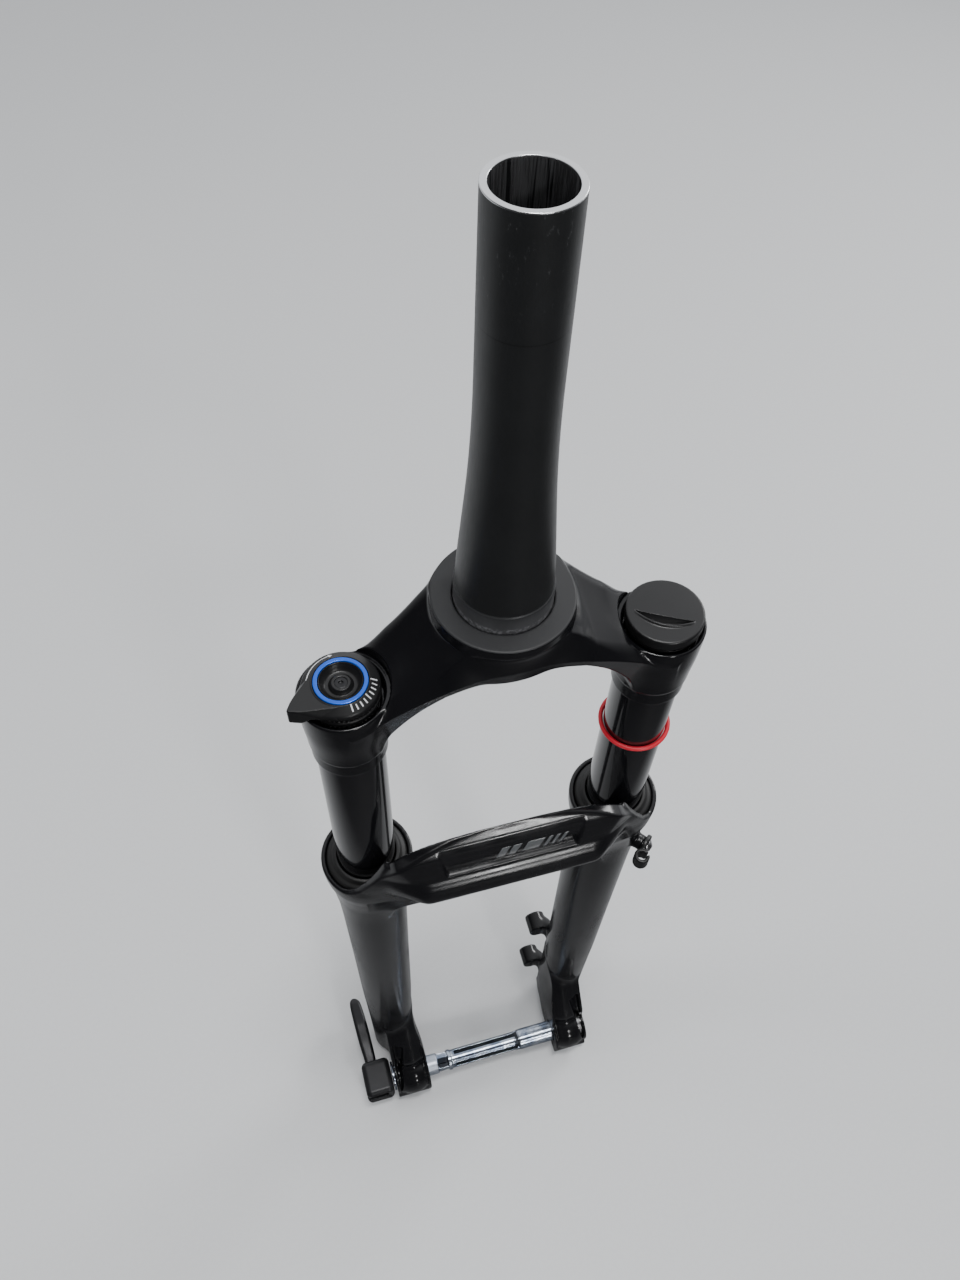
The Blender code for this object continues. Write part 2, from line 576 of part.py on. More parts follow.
def build_casting(lowers):
    stations = [-72, -67, -62, -52, -40, -20, 0, 20, 40, 52, 62, 67, 72]
    casting = loft("lower_leg_casting", [arch_section(x) for x in stations], "gloss_black_paint", lowers)
    for side in (-1, 1):
        leg = turned(f"casting_leg_{side}", LEG_PROFILE, parent=lowers, centre=(side * LEG_X, LEG_Y, 0),
                     steps=FINE_STEPS, collection=CUTTERS)
        join(casting, leg)
        ends = sorted((side * HUB_GAP / 2, side * DROPOUT_OUT_X))
        dropout = sideways_plate(f"casting_dropout_{side}", dropout_outline(), *ends, lowers, CUTTERS)
        round_edges(dropout, 1.5, segments=1)
        join(casting, dropout)
    for z in (POST_HIGH_Z, POST_HIGH_Z - POST_SPACING):
        post = turned(f"casting_post_{-z:.0f}", rod_profile(POST_R, POST_FACE_Y, POST_ROOT_Y, 0.6),
                      parent=lowers, centre=(POST_X, 0, z), along="Y", steps=SMALL_STEPS, collection=CUTTERS)
        web = box(f"casting_post_web_{-z:.0f}", (HUB_GAP / 2 + 0.8, LEG_Y + 2.7, z - 16),
                  (LEG_X - 4.3, POST_FACE_Y - 8, z + 4), parent=lowers, collection=CUTTERS)
        join(casting, post, web)
    clip_boss = turned("casting_clip_boss", rod_profile(4.5, CLIP_FACE_R, 14), parent=lowers,
                       centre=(LEG_X, LEG_Y, CLIP_Z), steps=SMALL_STEPS, collection=CUTTERS)
    clip_boss.rotation_euler = CLIP_TURN
    join(casting, clip_boss)

    for side in (-1, 1):
        where = (side * LEG_X, LEG_Y, 0)
        bore = turned(f"leg_bore_{side}", LEG_BORE, parent=lowers, centre=where, steps=FINE_STEPS,
                      collection=CUTTERS)
        foot = turned(f"foot_bore_{side}", [
            (0, FOOT_FLOOR_TOP_Z + 3), (3.6, FOOT_FLOOR_TOP_Z + 3), (3.6, FOOT_FLOOR_LOW_Z),
            (9.2, FOOT_FLOOR_LOW_Z), (9.2, LEG_FOOT_Z - 3), (0, LEG_FOOT_Z - 3),
        ], parent=lowers, centre=where, steps=SMALL_STEPS, collection=CUTTERS)
        cut(casting, bore, foot)
    axle_bore_r = AXLE_R + GAP
    nut_bore_r = NUT_R + GAP
    for name, radius, x_low, x_high in (
        ("axle_bore", axle_bore_r, -LEG_X - 15, HUB_GAP / 2 + 3),
        ("nut_bore", nut_bore_r, HUB_GAP / 2 + 2, LEG_X + 15),
    ):
        bore = turned(name, rod_profile(radius, x_high, x_low), parent=lowers, centre=(0, AXLE_Y, AXLE_Z),
                      along="X", steps=24, collection=CUTTERS)
        cut(casting, bore)
    for z in (POST_HIGH_Z, POST_HIGH_Z - POST_SPACING):
        thread = turned(f"post_thread_{-z:.0f}", rod_profile(2.6, POST_FACE_Y + 3, POST_FACE_Y - 14),
                        parent=lowers, centre=(POST_X, 0, z), along="Y", steps=12, collection=CUTTERS)
        cut(casting, thread)
    clip_thread = turned("clip_thread", rod_profile(2.0, CLIP_FACE_R + 3, CLIP_FACE_R - 7), parent=lowers,
                         centre=(LEG_X, LEG_Y, CLIP_Z), steps=12, collection=CUTTERS)
    clip_thread.rotation_euler = CLIP_TURN
    cut(casting, clip_thread)


def build_leg_fittings(lowers):
    for name, side in (("air", 1), ("damper", -1)):
        where = (side * LEG_X, LEG_Y, 0)
        inner = STANCHION_R + GAP
        turned(f"{name}_wiper_seal", [
            (15.9, -184.5), (19.5, -187), (21.0, -188.5), (21.0, -199.7), (16.6, -199.7), (16.6, -192),
            (inner, -190), (inner, -186.5),
        ], "black_rubber", lowers, where)
        turned(f"{name}_foam_ring", tube_profile(18.3, inner, -200.4, -205.7), "foam", lowers, where,
               steps=24)
        for place_name, top in (("upper", -206.3), ("lower", -275.0)):
            turned(f"{name}_{place_name}_bushing", tube_profile(LINER_BORE_R - 0.3, inner, top, top - 20),
                   "bushing_bronze", lowers, where, steps=ROUND_STEPS)
        washer_top = FOOT_FLOOR_LOW_Z - GAP
        turned(f"{name}_crush_washer", tube_profile(6.5, 3.5, washer_top, washer_top - 1.2), "raw_aluminium",
               lowers, where, steps=SMALL_STEPS)
        head_top = washer_top - 1.5
        bolt = [
            (2.5, BOLT_TIP_Z), (2.5, head_top), (6.0, head_top), (6.0, head_top - 6), (1.9, head_top - 6),
            (1.9, BOLT_TIP_Z),
        ]
        turned(f"{name}_foot_bolt", bolt, "steel", lowers, where, steps=SMALL_STEPS)


def build_hose_clip(lowers):
    """A clip on the front of the brake-side leg, held by one small bolt."""
    plate_thickness = 2.4
    centre = (LEG_X, LEG_Y, CLIP_Z)
    base = CLIP_FACE_R + GAP
    clip = turned("hose_guide", tube_profile(5.4, 2.6, base + plate_thickness, base), "black_plastic", lowers,
                  centre, steps=SMALL_STEPS)
    clip.rotation_euler = CLIP_TURN
    heading = Vector((cos(CLIP_HEADING), sin(CLIP_HEADING), 0))
    side = Vector((-heading.y, heading.x, 0))
    hook_centre = Vector(centre) + heading * (base + 3.4) - side * 8.6
    hook = turned("hose_guide_loop", tube_profile(4.4, 2.8, 4, -4), parent=lowers, centre=hook_centre,
                  steps=SMALL_STEPS, collection=CUTTERS)
    slot_low = Vector((-1.6, -6, -5))
    slot = box("hose_guide_slot", slot_low, -slot_low, parent=lowers, collection=CUTTERS)
    slot.location = (hook_centre + heading * 3.5 - side * 2.5) * MM
    slot.rotation_euler = (0, 0, CLIP_HEADING - radians(50))
    cut(hook, slot)
    join(clip, hook)
    head = base + plate_thickness + GAP
    bolt = turned("hose_guide_bolt", [
        (0, head + 2.6), (2.6, head + 2.6), (4.2, head + 1.0), (4.2, head), (1.7, head),
        (1.7, CLIP_FACE_R - 6), (0, CLIP_FACE_R - 6),
    ], "steel", lowers, centre, steps=SMALL_STEPS)
    bolt.rotation_euler = CLIP_TURN


# ---------------------------------------------------------------- thru axle


def build_axle(lowers, axle, lever):
    line = (0, AXLE_Y, AXLE_Z)
    nut_low = HUB_GAP / 2 + 2.3
    turned("axle_nut", tube_profile(NUT_R, AXLE_R + GAP, LEG_X + 6, nut_low, 0.6), "steel", lowers, line, "X",
           steps=24)
    collar = -DROPOUT_OUT_X - GAP
    shaft = turned("thru_axle", [
        (0, -60), (4.6, -56), (4.6, 73), (AXLE_R - 1, 73), (AXLE_R, 72), (AXLE_R, 24), (AXLE_R - 0.7, 23.4),
        (AXLE_R - 0.7, -30), (AXLE_R, -30.6), (AXLE_R, collar), (10.5, collar), (10.5, collar - 1.8),
        (0, collar - 1.8),
    ], "raw_aluminium", axle, line, "X", steps=24)
    flutes = [(angle, -28, 21) for angle in (45, 135, 225, 315)]
    windows = [(angle, -42, -34) for angle in (20, 110, 200, 290)]
    for angle, low, high in flutes + windows:
        turn = Matrix.Rotation(radians(angle), 4, "X")
        slot = box(f"axle_slot_{angle}", (low, -2.2, AXLE_R - 2), (high, 2.2, AXLE_R + 2), parent=axle,
                   collection=CUTTERS)
        slot.rotation_euler = (radians(angle), 0, 0)
        slot.location = turn @ slot.location + Vector(line) * MM
        cut(shaft, slot)

    head = box("axle_head", (HEAD_OUT_X, AXLE_Y - 13, AXLE_Z - 12), (HEAD_IN_X, AXLE_Y + 13, AXLE_Z + 12),
               "black_anodised", axle)
    slot_half = 5.3
    lever_slot = box("lever_slot", (PIN_X - 15, AXLE_Y - 20, AXLE_Z - slot_half),
                     (PIN_X + 7, AXLE_Y + 20, AXLE_Z + slot_half), parent=axle, collection=CUTTERS)
    pin_hole = turned("lever_pin_hole", rod_profile(2.8, AXLE_Z + 9, AXLE_Z - 20), parent=axle,
                      centre=(PIN_X, AXLE_Y, 0), steps=SMALL_STEPS, collection=CUTTERS)
    round_edges(head, 3.0, segments=3)
    cut(head, lever_slot, pin_hole)
    turned("lever_pivot_pin", rod_profile(2.5, AXLE_Z + 8.7, AXLE_Z - 11.5), "steel", axle,
           (PIN_X, AXLE_Y, 0), steps=SMALL_STEPS)
    build_lever(lever)


def build_lever(lever):
    """The lever seen from above: a cam eye round the pin and an arm that lies along the leg."""
    eye_r = 6.6
    arm_in, arm_out = 3.0, -4.5
    outline = arc(0, 0, eye_r, -160, 20, 11) + [
        (arm_in, 14), (arm_in - 0.5, 36), (arm_in - 1.5, LEVER_LENGTH - 4), (arm_in - 3.5, LEVER_LENGTH),
        (arm_out - 3.0, LEVER_LENGTH), (arm_out - 4.0, LEVER_LENGTH - 6), (arm_out - 2.5, 34),
        (arm_out - 1.0, 16),
    ]
    arm = extruded_outline("axle_lever", outline, 10.0, "black_anodised", lever)
    arm.location = Vector((PIN_X, AXLE_Y, AXLE_Z)) * MM
    # place along the arm, half width up and down, inner and outer face
    stations = [(20, 5.4, 2, -6), (32, 7.5, 1.5, -6.8), (46, 10.5, 1, -7.6), (58, 10, 0, -7.8),
                (LEVER_LENGTH + 3, 6, -2, -7)]
    sections = [
        [(out, along, across) for _, across, out in soft_box_section(0, -half, half, outer, inner, 2.6, 12)]
        for along, half, inner, outer in stations
    ]
    paddle = loft("lever_paddle", sections, parent=lever, collection=CUTTERS)
    paddle.location = Vector((PIN_X, AXLE_Y, AXLE_Z)) * MM
    pin_hole = turned("lever_eye_hole", rod_profile(2.8, 10, -10), parent=lever,
                      centre=(PIN_X, AXLE_Y, AXLE_Z), steps=SMALL_STEPS, collection=CUTTERS)
    join(arm, paddle)
    cut(arm, pin_hole)


# ---------------------------------------------------------------- assembly


def main():
    clear_scene()
    for name, finish in FINISHES.items():
        MATERIALS[name] = make_material(name, *finish)
    root = make_empty("fork_datum", (0, 0, 0))
    damper_top = (-LEG_X, LEG_Y, KNOB_TOP_Z)
    air_top = (LEG_X, LEG_Y, BOSS_TOP_Z)
    knob = make_empty("compression_axis", damper_top, root)
    cap = make_empty("air_cap_axis", air_top, root)
    valve = make_empty("valve_axis", air_top, root)
    ring = make_empty("travel_ring_axis", (LEG_X, LEG_Y, TRAVEL_RING_Z), root)
    lowers = make_empty("travel_axis", (0, LEG_Y, CUP_TOP_Z), root)
    rebound = make_empty("rebound_axis", (-LEG_X, LEG_Y, LEG_FOOT_Z), lowers)
    axle = make_empty("axle_axis", (0, AXLE_Y, AXLE_Z), lowers)
    lever = make_empty("lever_axis", (PIN_X, AXLE_Y, AXLE_Z), axle)

    build_steerer(root)
    build_crown(root)
    build_stanchions(root)
    build_air_side(root, valve, cap, lowers)
    build_damper_side(root, knob, lowers, rebound)
    build_travel_ring(ring)
    build_casting(lowers)
    build_leg_fittings(lowers)
    build_hose_clip(lowers)
    build_axle(lowers, axle, lever)
    root.location = Vector(DATUM_IN_ROW) * MM
    shade_smooth()


def shade_smooth():
    for obj in PARTS.objects:
        if obj.type == "MESH":
            obj.data.shade_smooth()
            obj.data.set_sharp_from_angle(angle=radians(35))


main()
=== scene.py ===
"""Looks of the suspension fork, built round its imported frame.

Shapes are worked out in millimetres from the fork datum: the centre of the crown's race ring on the
steerer axis, +Z up the steerer, -Y forwards, +X the air spring and brake side. Smooth forged and cast
pieces are distance fields that are meshed and drawn onto their surface; round ones are turned.
"""

import json
from math import cos, pi, radians, sin, tau

import bmesh
import bpy
import numpy as np
from mathutils import Euler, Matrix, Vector


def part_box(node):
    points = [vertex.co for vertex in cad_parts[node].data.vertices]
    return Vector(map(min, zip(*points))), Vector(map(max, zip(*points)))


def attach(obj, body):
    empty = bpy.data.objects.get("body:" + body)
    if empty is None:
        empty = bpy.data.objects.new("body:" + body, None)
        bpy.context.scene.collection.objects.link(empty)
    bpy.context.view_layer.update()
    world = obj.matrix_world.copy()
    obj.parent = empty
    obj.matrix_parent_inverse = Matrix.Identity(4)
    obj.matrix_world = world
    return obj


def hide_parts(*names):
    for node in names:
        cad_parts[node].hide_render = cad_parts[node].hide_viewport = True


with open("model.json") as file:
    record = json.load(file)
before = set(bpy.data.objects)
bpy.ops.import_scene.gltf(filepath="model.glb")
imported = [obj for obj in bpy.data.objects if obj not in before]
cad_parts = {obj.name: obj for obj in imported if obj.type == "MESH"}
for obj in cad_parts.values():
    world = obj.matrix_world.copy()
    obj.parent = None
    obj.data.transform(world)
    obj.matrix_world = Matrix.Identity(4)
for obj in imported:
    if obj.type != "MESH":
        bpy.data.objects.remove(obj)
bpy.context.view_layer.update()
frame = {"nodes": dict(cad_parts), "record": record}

MM = 0.001


def box_mm(node):
    """Centre and half size of a CAD node, in millimetres from the fork datum."""
    low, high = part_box(node)
    return ((low + high) / 2 - DATUM) / MM, (high - low) / 2 / MM


def find_datum():
    low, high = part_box("steerer_tube")
    race = next(m for m in frame["record"]["mounts"] if m["name"] == "crown_race_seat")
    return Vector(((low.x + high.x) / 2, (low.y + high.y) / 2, race["pos_m"][2]))


DATUM = find_datum()
LEG, LEG_HALF = box_mm("air_stanchion")
LEG_X, LEG_Y, STANCHION_R = LEG.x, LEG.y, LEG_HALF.x
LEGS = {"air": LEG_X, "damper": -LEG_X}
STANCHION_TOP = LEG.z + LEG_HALF.z
STANCHION_FOOT = LEG.z - LEG_HALF.z
STEERER, STEERER_HALF = box_mm("steerer_tube")
STEERER_TOP = STEERER.z + STEERER_HALF.z
STEERER_FOOT = STEERER.z - STEERER_HALF.z
SEAT_R = STEERER_HALF.x
AXLE_Y, AXLE_Z = box_mm("axle_nut")[0].yz
RING = box_mm("travel_ring")[0]
HEAD, HEAD_HALF = box_mm("axle_head")

HUB_HALF = 50.0
AXLE_R = 7.5
RING_R = 29.0
SEAT_TOP = 9.0
CUP_TOP = -188.0
LEG_FOOT = -538.0


# ---- shape tools


def smooth_min(a, b, k):
    """Union of two fields, rounded over about k."""
    h = np.clip(0.5 + 0.5 * (b - a) / k, 0, 1)
    return b + (a - b) * h - k * h * (1 - h)


def smooth_max(a, b, k):
    """Intersection of two fields, rounded over about k."""
    return -smooth_min(-a, -b, k)


def cut(body, tool, k):
    """The body less the tool, the new edge rounded over about k."""
    return smooth_max(body, -tool, k)


def post(radius, size, along, low, high, k):
    """Field of a round post between two levels on its axis."""
    return smooth_max(radius - size, np.maximum(along - high, low - along), k)


def turned(a, b, angle):
    """Coordinates along and across a direction in a plane."""
    return a * cos(angle) + b * sin(angle), b * cos(angle) - a * sin(angle)


def through(stops, at):
    """A smooth curve through (place, value) stops, level at both ends, without overshoot."""
    x, y = np.array(stops, float).T
    h = np.diff(x)
    d = np.diff(y) / h
    m = np.zeros_like(y)
    same = d[:-1] * d[1:] > 0
    m[1:-1][same] = (2 * d[:-1] * d[1:])[same] / (d[:-1] + d[1:])[same]
    at = np.clip(at, x[0], x[-1])
    i = np.clip(np.searchsorted(x, at) - 1, 0, len(x) - 2)
    t = (at - x[i]) / h[i]
    rise = y[i] * (1 + 2 * t) * (1 - t) ** 2 + y[i + 1] * t * t * (3 - 2 * t)
    return rise + h[i] * t * (1 - t) * (m[i] * (1 - t) - m[i + 1] * t)


def straight(stops, at):
    """Straight lines through (place, value) stops."""
    x, y = zip(*stops)
    return np.interp(at, x, y)


def step(low, high, at):
    """A smooth rise from 0 at low to 1 at high."""
    t = np.clip((at - low) / (high - low), 0, 1)
    return t * t * (3 - 2 * t)


def rounded_box(X, Y, Z, centre, half, radius):
    x, y, z = (np.abs(at - centre[n]) - half[n] + radius for n, at in enumerate((X, Y, Z)))
    outside = np.sqrt(np.maximum(x, 0) ** 2 + np.maximum(y, 0) ** 2 + np.maximum(z, 0) ** 2)
    return outside + np.minimum(np.maximum(x, np.maximum(y, z)), 0) - radius


def capsule(X, Y, Z, start, end, radius):
    a, b = np.array(start, float), np.array(end, float)
    d = b - a
    x, y, z = X - a[0], Y - a[1], Z - a[2]
    t = np.clip((x * d[0] + y * d[1] + z * d[2]) / (d @ d), 0, 1)
    return np.sqrt((x - t * d[0]) ** 2 + (y - t * d[1]) ** 2 + (z - t * d[2]) ** 2) - radius


def spaced(*spans):
    """Grid lines over spans of (from, to, spacing), one after another."""
    lines = [np.linspace(a, b, max(2, int(round((b - a) / gap)) + 1)) for a, b, gap in spans]
    return np.unique(np.concatenate(lines).round(6))


def round_leg(x, reach, gap, *upright):
    """Grid lines round an axis at (x, LEG_Y)."""
    return spaced((x - reach, x + reach, gap)), spaced((LEG_Y - reach, LEG_Y + reach, gap)), spaced(*upright)


def net(values, lines):
    """A surface net round where the sampled field is negative: points and four-sided faces."""
    inside = values < 0
    nx, ny, nz = values.shape
    count = np.zeros((nx - 1, ny - 1, nz - 1), np.int8)
    for i, j, k in np.ndindex(2, 2, 2):
        count += inside[i:nx - 1 + i, j:ny - 1 + j, k:nz - 1 + k]
    cells = np.argwhere((count > 0) & (count < 8))
    index = np.full(count.shape, -1, int)
    index[tuple(cells.T)] = np.arange(len(cells))
    unit = np.eye(3, dtype=int)
    total = np.zeros((len(cells), 3))
    crossings = np.zeros(len(cells))
    for axis in range(3):
        others = [a for a in range(3) if a != axis]
        for u, w in np.ndindex(2, 2):
            start = cells + u * unit[others[0]] + w * unit[others[1]]
            end = start + unit[axis]
            a, b = values[tuple(start.T)], values[tuple(end.T)]
            cross = (a < 0) != (b < 0)
            t = a[cross] / (a[cross] - b[cross])
            place = np.stack([lines[n][start[cross, n]] for n in range(3)], 1)
            far = lines[axis][end[cross, axis]]
            place[:, axis] += t * (far - place[:, axis])
            total[cross] += place
            crossings[cross] += 1
    points = total / crossings[:, None]
    faces = []
    for axis in range(3):
        u, w = (axis + 1) % 3, (axis + 2) % 3
        edges = np.argwhere(np.diff(inside, axis=axis))
        kept = (edges[:, u] > 0) & (edges[:, w] > 0)
        kept &= (edges[:, u] < values.shape[u] - 1) & (edges[:, w] < values.shape[w] - 1)
        edges = edges[kept]
        corners = []
        for du, dw in ((1, 1), (0, 1), (0, 0), (1, 0)):
            cell = edges - du * unit[u] - dw * unit[w]
            corners.append(index[tuple(cell.T)])
        quads = np.stack(corners, 1)
        inward = ~inside[tuple(edges.T)]
        quads[inward] = quads[inward][:, ::-1]
        faces.append(quads)
    return points, np.concatenate(faces)


def gradient(field, points, reach):
    rises = [field(*(points + way).T) - field(*(points - way).T) for way in reach * np.eye(3)]
    return np.stack(rises, 1) / (2 * reach)


def new_object(name, data):
    obj = bpy.data.objects.new(name, data)
    bpy.context.scene.collection.objects.link(obj)
    return obj


def from_bmesh(name, shape):
    mesh = bpy.data.meshes.new(name)
    shape.to_mesh(mesh)
    shape.free()
    return new_object(name, mesh)


def printed(name, shape, thickness, body, slot):
    """A thin printed mark from a bmesh. Its piece takes the record's slot of the surface it lies on."""
    obj = from_bmesh(name, shape)
    obj.modifiers.new("Solidify", "SOLIDIFY").thickness = thickness * MM
    stand_in(obj, body, slot)
    return obj


def sculpt(name, field, lines, cell=1.0):
    """A mesh of the field's surface. Its points are drawn onto the surface, which gives their normals."""
    X, Y, Z = np.meshgrid(*lines, indexing="ij", sparse=True)
    shape = tuple(len(line) for line in lines)
    values = np.broadcast_to(field(X, Y, Z), shape)
    points, faces = net(values, lines)
    for _ in range(4):
        slope = gradient(field, points, 0.02)
        size = np.maximum((slope ** 2).sum(1), 0.04)
        move = -(field(*points.T) / size)[:, None] * slope
        length = np.linalg.norm(move, axis=1, keepdims=True)
        points += move * np.minimum(1, 0.4 * cell / np.maximum(length, 1e-9))
    normals = gradient(field, points, 0.12)
    normals /= np.maximum(np.linalg.norm(normals, axis=1, keepdims=True), 1e-9)
    mesh = bpy.data.meshes.new(name)
    mesh.from_pydata((points * MM + np.array(DATUM)).tolist(), [], faces.tolist())
    mesh.shade_smooth()
    mesh.normals_split_custom_set_from_vertices(normals.tolist())
    return new_object(name, mesh)


def filleted(corners, radius, segments=3):
    """A closed or open outline whose (r, z) corners are rounded. A corner may give its own radius."""
    points = []
    count = len(corners)
    for i, corner in enumerate(corners):
        here = Vector(corner[:2])
        before, after = Vector(corners[i - 1][:2]), Vector(corners[(i + 1) % count][:2])
        size = corner[2] if len(corner) > 2 else radius
        if size <= 0 or (corners[0][0] == 0 and i in (0, count - 1)):
            points.append(here)
            continue
        back, ahead = (before - here), (after - here)
        reach = min(size, back.length * 0.45, ahead.length * 0.45)
        a, b = here + back.normalized() * reach, here + ahead.normalized() * reach
        for n in range(segments + 1):
            t = n / segments
            points.append(a * (1 - t) ** 2 + here * 2 * t * (1 - t) + b * t * t)
    return [(p.x, p.y) for p in points]


def lathe(name, profile, centre=(0, 0, 0), along="Z", steps=96):
    """A turned piece round its own Z axis, laid along X or Z. A profile from the axis is a solid one."""
    closed = profile[0][0] > 0
    shape = bmesh.new()
    rings = []
    for r, z in profile:
        if r == 0:
            rings.append([shape.verts.new((0, 0, z * MM))])
            continue
        around = [(r * cos(tau * n / steps), r * sin(tau * n / steps)) for n in range(steps)]
        rings.append([shape.verts.new((x * MM, y * MM, z * MM)) for x, y in around])
    pairs = list(zip(rings, rings[1:]))
    if closed:
        pairs.append((rings[-1], rings[0]))
    for upper, lower in pairs:
        for n in range(steps):
            m = (n + 1) % steps
            if len(upper) == 1:
                shape.faces.new((upper[0], lower[n], lower[m]))
            elif len(lower) == 1:
                shape.faces.new((upper[n], lower[0], upper[m]))
            else:
                shape.faces.new((upper[n], lower[n], lower[m], upper[m]))
    bmesh.ops.recalc_face_normals(shape, faces=shape.faces)
    obj = from_bmesh(name, shape)
    obj.data.shade_smooth()
    obj.data.set_sharp_from_angle(angle=radians(40))
    obj.location = DATUM + Vector(centre) * MM
    if along == "X":
        obj.rotation_euler = (0, pi / 2, 0)
    return obj


def stand_in(obj, body, slot, *nodes):
    """The piece rides on the body, takes the slot's finish and is shown in place of the nodes."""
    obj.data.materials.append(FINISHES[slot])
    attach(obj, body)
    if nodes:
        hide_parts(*nodes)
    return obj


# ---- materials


EVEN = (1, 1, 1)
BLACK_PAINT = (0.006, 0.006, 0.007)


class Nodes:
    """Short forms for building a material's nodes."""

    def __init__(self, name):
        self.material = bpy.data.materials.new(name)
        self.material.use_nodes = True
        self.tree = self.material.node_tree
        self.shader = self.tree.nodes["Principled BSDF"]

    def add(self, kind, inputs=None, **settings):
        node = self.tree.nodes.new("ShaderNode" + kind)
        for key, value in settings.items():
            setattr(node, key, value)
        for key, value in (inputs or {}).items():
            self.put(node.inputs[key], value)
        return node

    def put(self, socket, value):
        if isinstance(value, bpy.types.NodeSocket):
            self.tree.links.new(value, socket)
        else:
            socket.default_value = value

    def place(self, centre=(0, 0, 0), stretch=EVEN):
        """Coordinates in millimetres from a point, stretched along the axes."""
        where = self.add("TexCoord").outputs["Object"]
        offset = [-c / MM for c in centre]
        moved = self.add("Mapping", {"Vector": where, "Location": offset, "Scale": (1000, 1000, 1000)})
        return self.add("Mapping", {"Vector": moved.outputs[0], "Scale": stretch}).outputs[0]

    def noise(self, where, scale, detail=3.0, rough=0.55):
        node = self.add("TexNoise", {"Vector": where, "Scale": scale, "Detail": detail, "Roughness": rough})
        return node.outputs["Fac"]

    def ramp(self, value, stops):
        node = self.add("ValToRGB", {"Fac": value})
        marks = node.color_ramp.elements
        marks[0].position, marks[1].position = stops[0][0], stops[-1][0]
        for place, _ in stops[1:-1]:
            marks.new(place)
        for mark, (_, level) in zip(marks, stops):
            mark.color = (level, level, level, 1)
        return node.outputs["Color"]

    def math(self, operation, a, b=0.0, clamp=False):
        node = self.add("Math", operation=operation, use_clamp=clamp)
        self.put(node.inputs[0], a)
        self.put(node.inputs[1], b)
        return node.outputs[0]

    def times(self, a, b):
        return self.math("MULTIPLY", a, b)

    def distance(self, a, b):
        """How far a point is from an axis, from its two coordinates across it."""
        return self.math("SQRT", self.math("ADD", self.math("POWER", a, 2.0), self.math("POWER", b, 2.0)))

    def either(self, share, a, b):
        return self.add("Mix", {"Factor": share, "A": a, "B": b}, data_type="FLOAT").outputs[0]

    def between(self, value, low, high):
        """A 0 to 1 value as a number from low to high."""
        return self.add("MapRange", {"Value": value, "To Min": low, "To Max": high}).outputs[0]

    def colours(self, share, a, b):
        node = self.add("Mix", data_type="RGBA")
        self.put(node.inputs["Factor"], share)
        for n, colour in ((6, a), (7, b)):
            self.put(node.inputs[n], (*colour, 1) if isinstance(colour, tuple) else colour)
        return node.outputs[2]

    def bump(self, height, distance, onto=None):
        node = self.add("Bump", {"Height": height, "Distance": distance * MM})
        if onto:
            self.put(node.inputs["Normal"], onto)
        return node.outputs[0]

    def set(self, **values):
        for key, value in values.items():
            self.put(self.shader.inputs[key.replace("_", " ")], value)
        return self.material


def tint(colour, by):
    return tuple(min(1.0, c * by) for c in colour)


def paint():
    """Gloss paint over the casting: a slow wave in the film, faint wiping marks and specks of dust."""
    n = Nodes("gloss_black_paint")
    where = n.place()
    wave = n.noise(where, 0.22, 2)
    smudge = n.ramp(n.noise(n.place(stretch=(1, 1, 0.35)), 0.05, 4), [(0.45, 0.0), (0.7, 1.0)])
    dust = n.ramp(n.noise(where, 1.9, 1), [(0.70, 0.0), (0.78, 1.0)])
    haze = n.times(smudge, 0.14)
    rough = n.math("ADD", n.math("ADD", haze, n.times(dust, 0.12)), 0.16)
    colour = n.colours(n.times(smudge, 0.5), BLACK_PAINT, tint(BLACK_PAINT, 1.8))
    return n.set(Base_Color=colour, Roughness=rough, Normal=n.bump(wave, 0.012))


def crown_paint():
    """The crown's gloss paint, with the race ring's bare machined face left matte."""
    n = Nodes("gloss_black_crown")
    where = n.place(tuple(DATUM))
    wave = n.noise(where, 0.22, 2)
    axes = n.add("SeparateXYZ", {"Vector": where}).outputs
    radius = n.distance(axes[0], axes[1])
    near_top = n.math("GREATER_THAN", axes[2], -0.75)
    ring = n.times(near_top, n.math("LESS_THAN", radius, RING_R - 0.1))
    turning = n.noise(n.add("CombineXYZ", {"X": n.times(radius, 9.0)}).outputs[0], 1.0, 2)
    smudge = n.ramp(n.noise(where, 0.05, 4), [(0.45, 0.0), (0.7, 1.0)])
    gloss = n.between(smudge, 0.14, 0.26)
    matte = n.between(turning, 0.42, 0.6)
    rough = n.either(ring, gloss, matte)
    film = n.bump(wave, 0.012)
    grooves = n.bump(n.times(turning, ring), 0.02, onto=film)
    colour = n.colours(ring, (0.005, 0.005, 0.006), (0.017, 0.0175, 0.019))
    return n.set(Base_Color=colour, Roughness=rough, Normal=grooves)


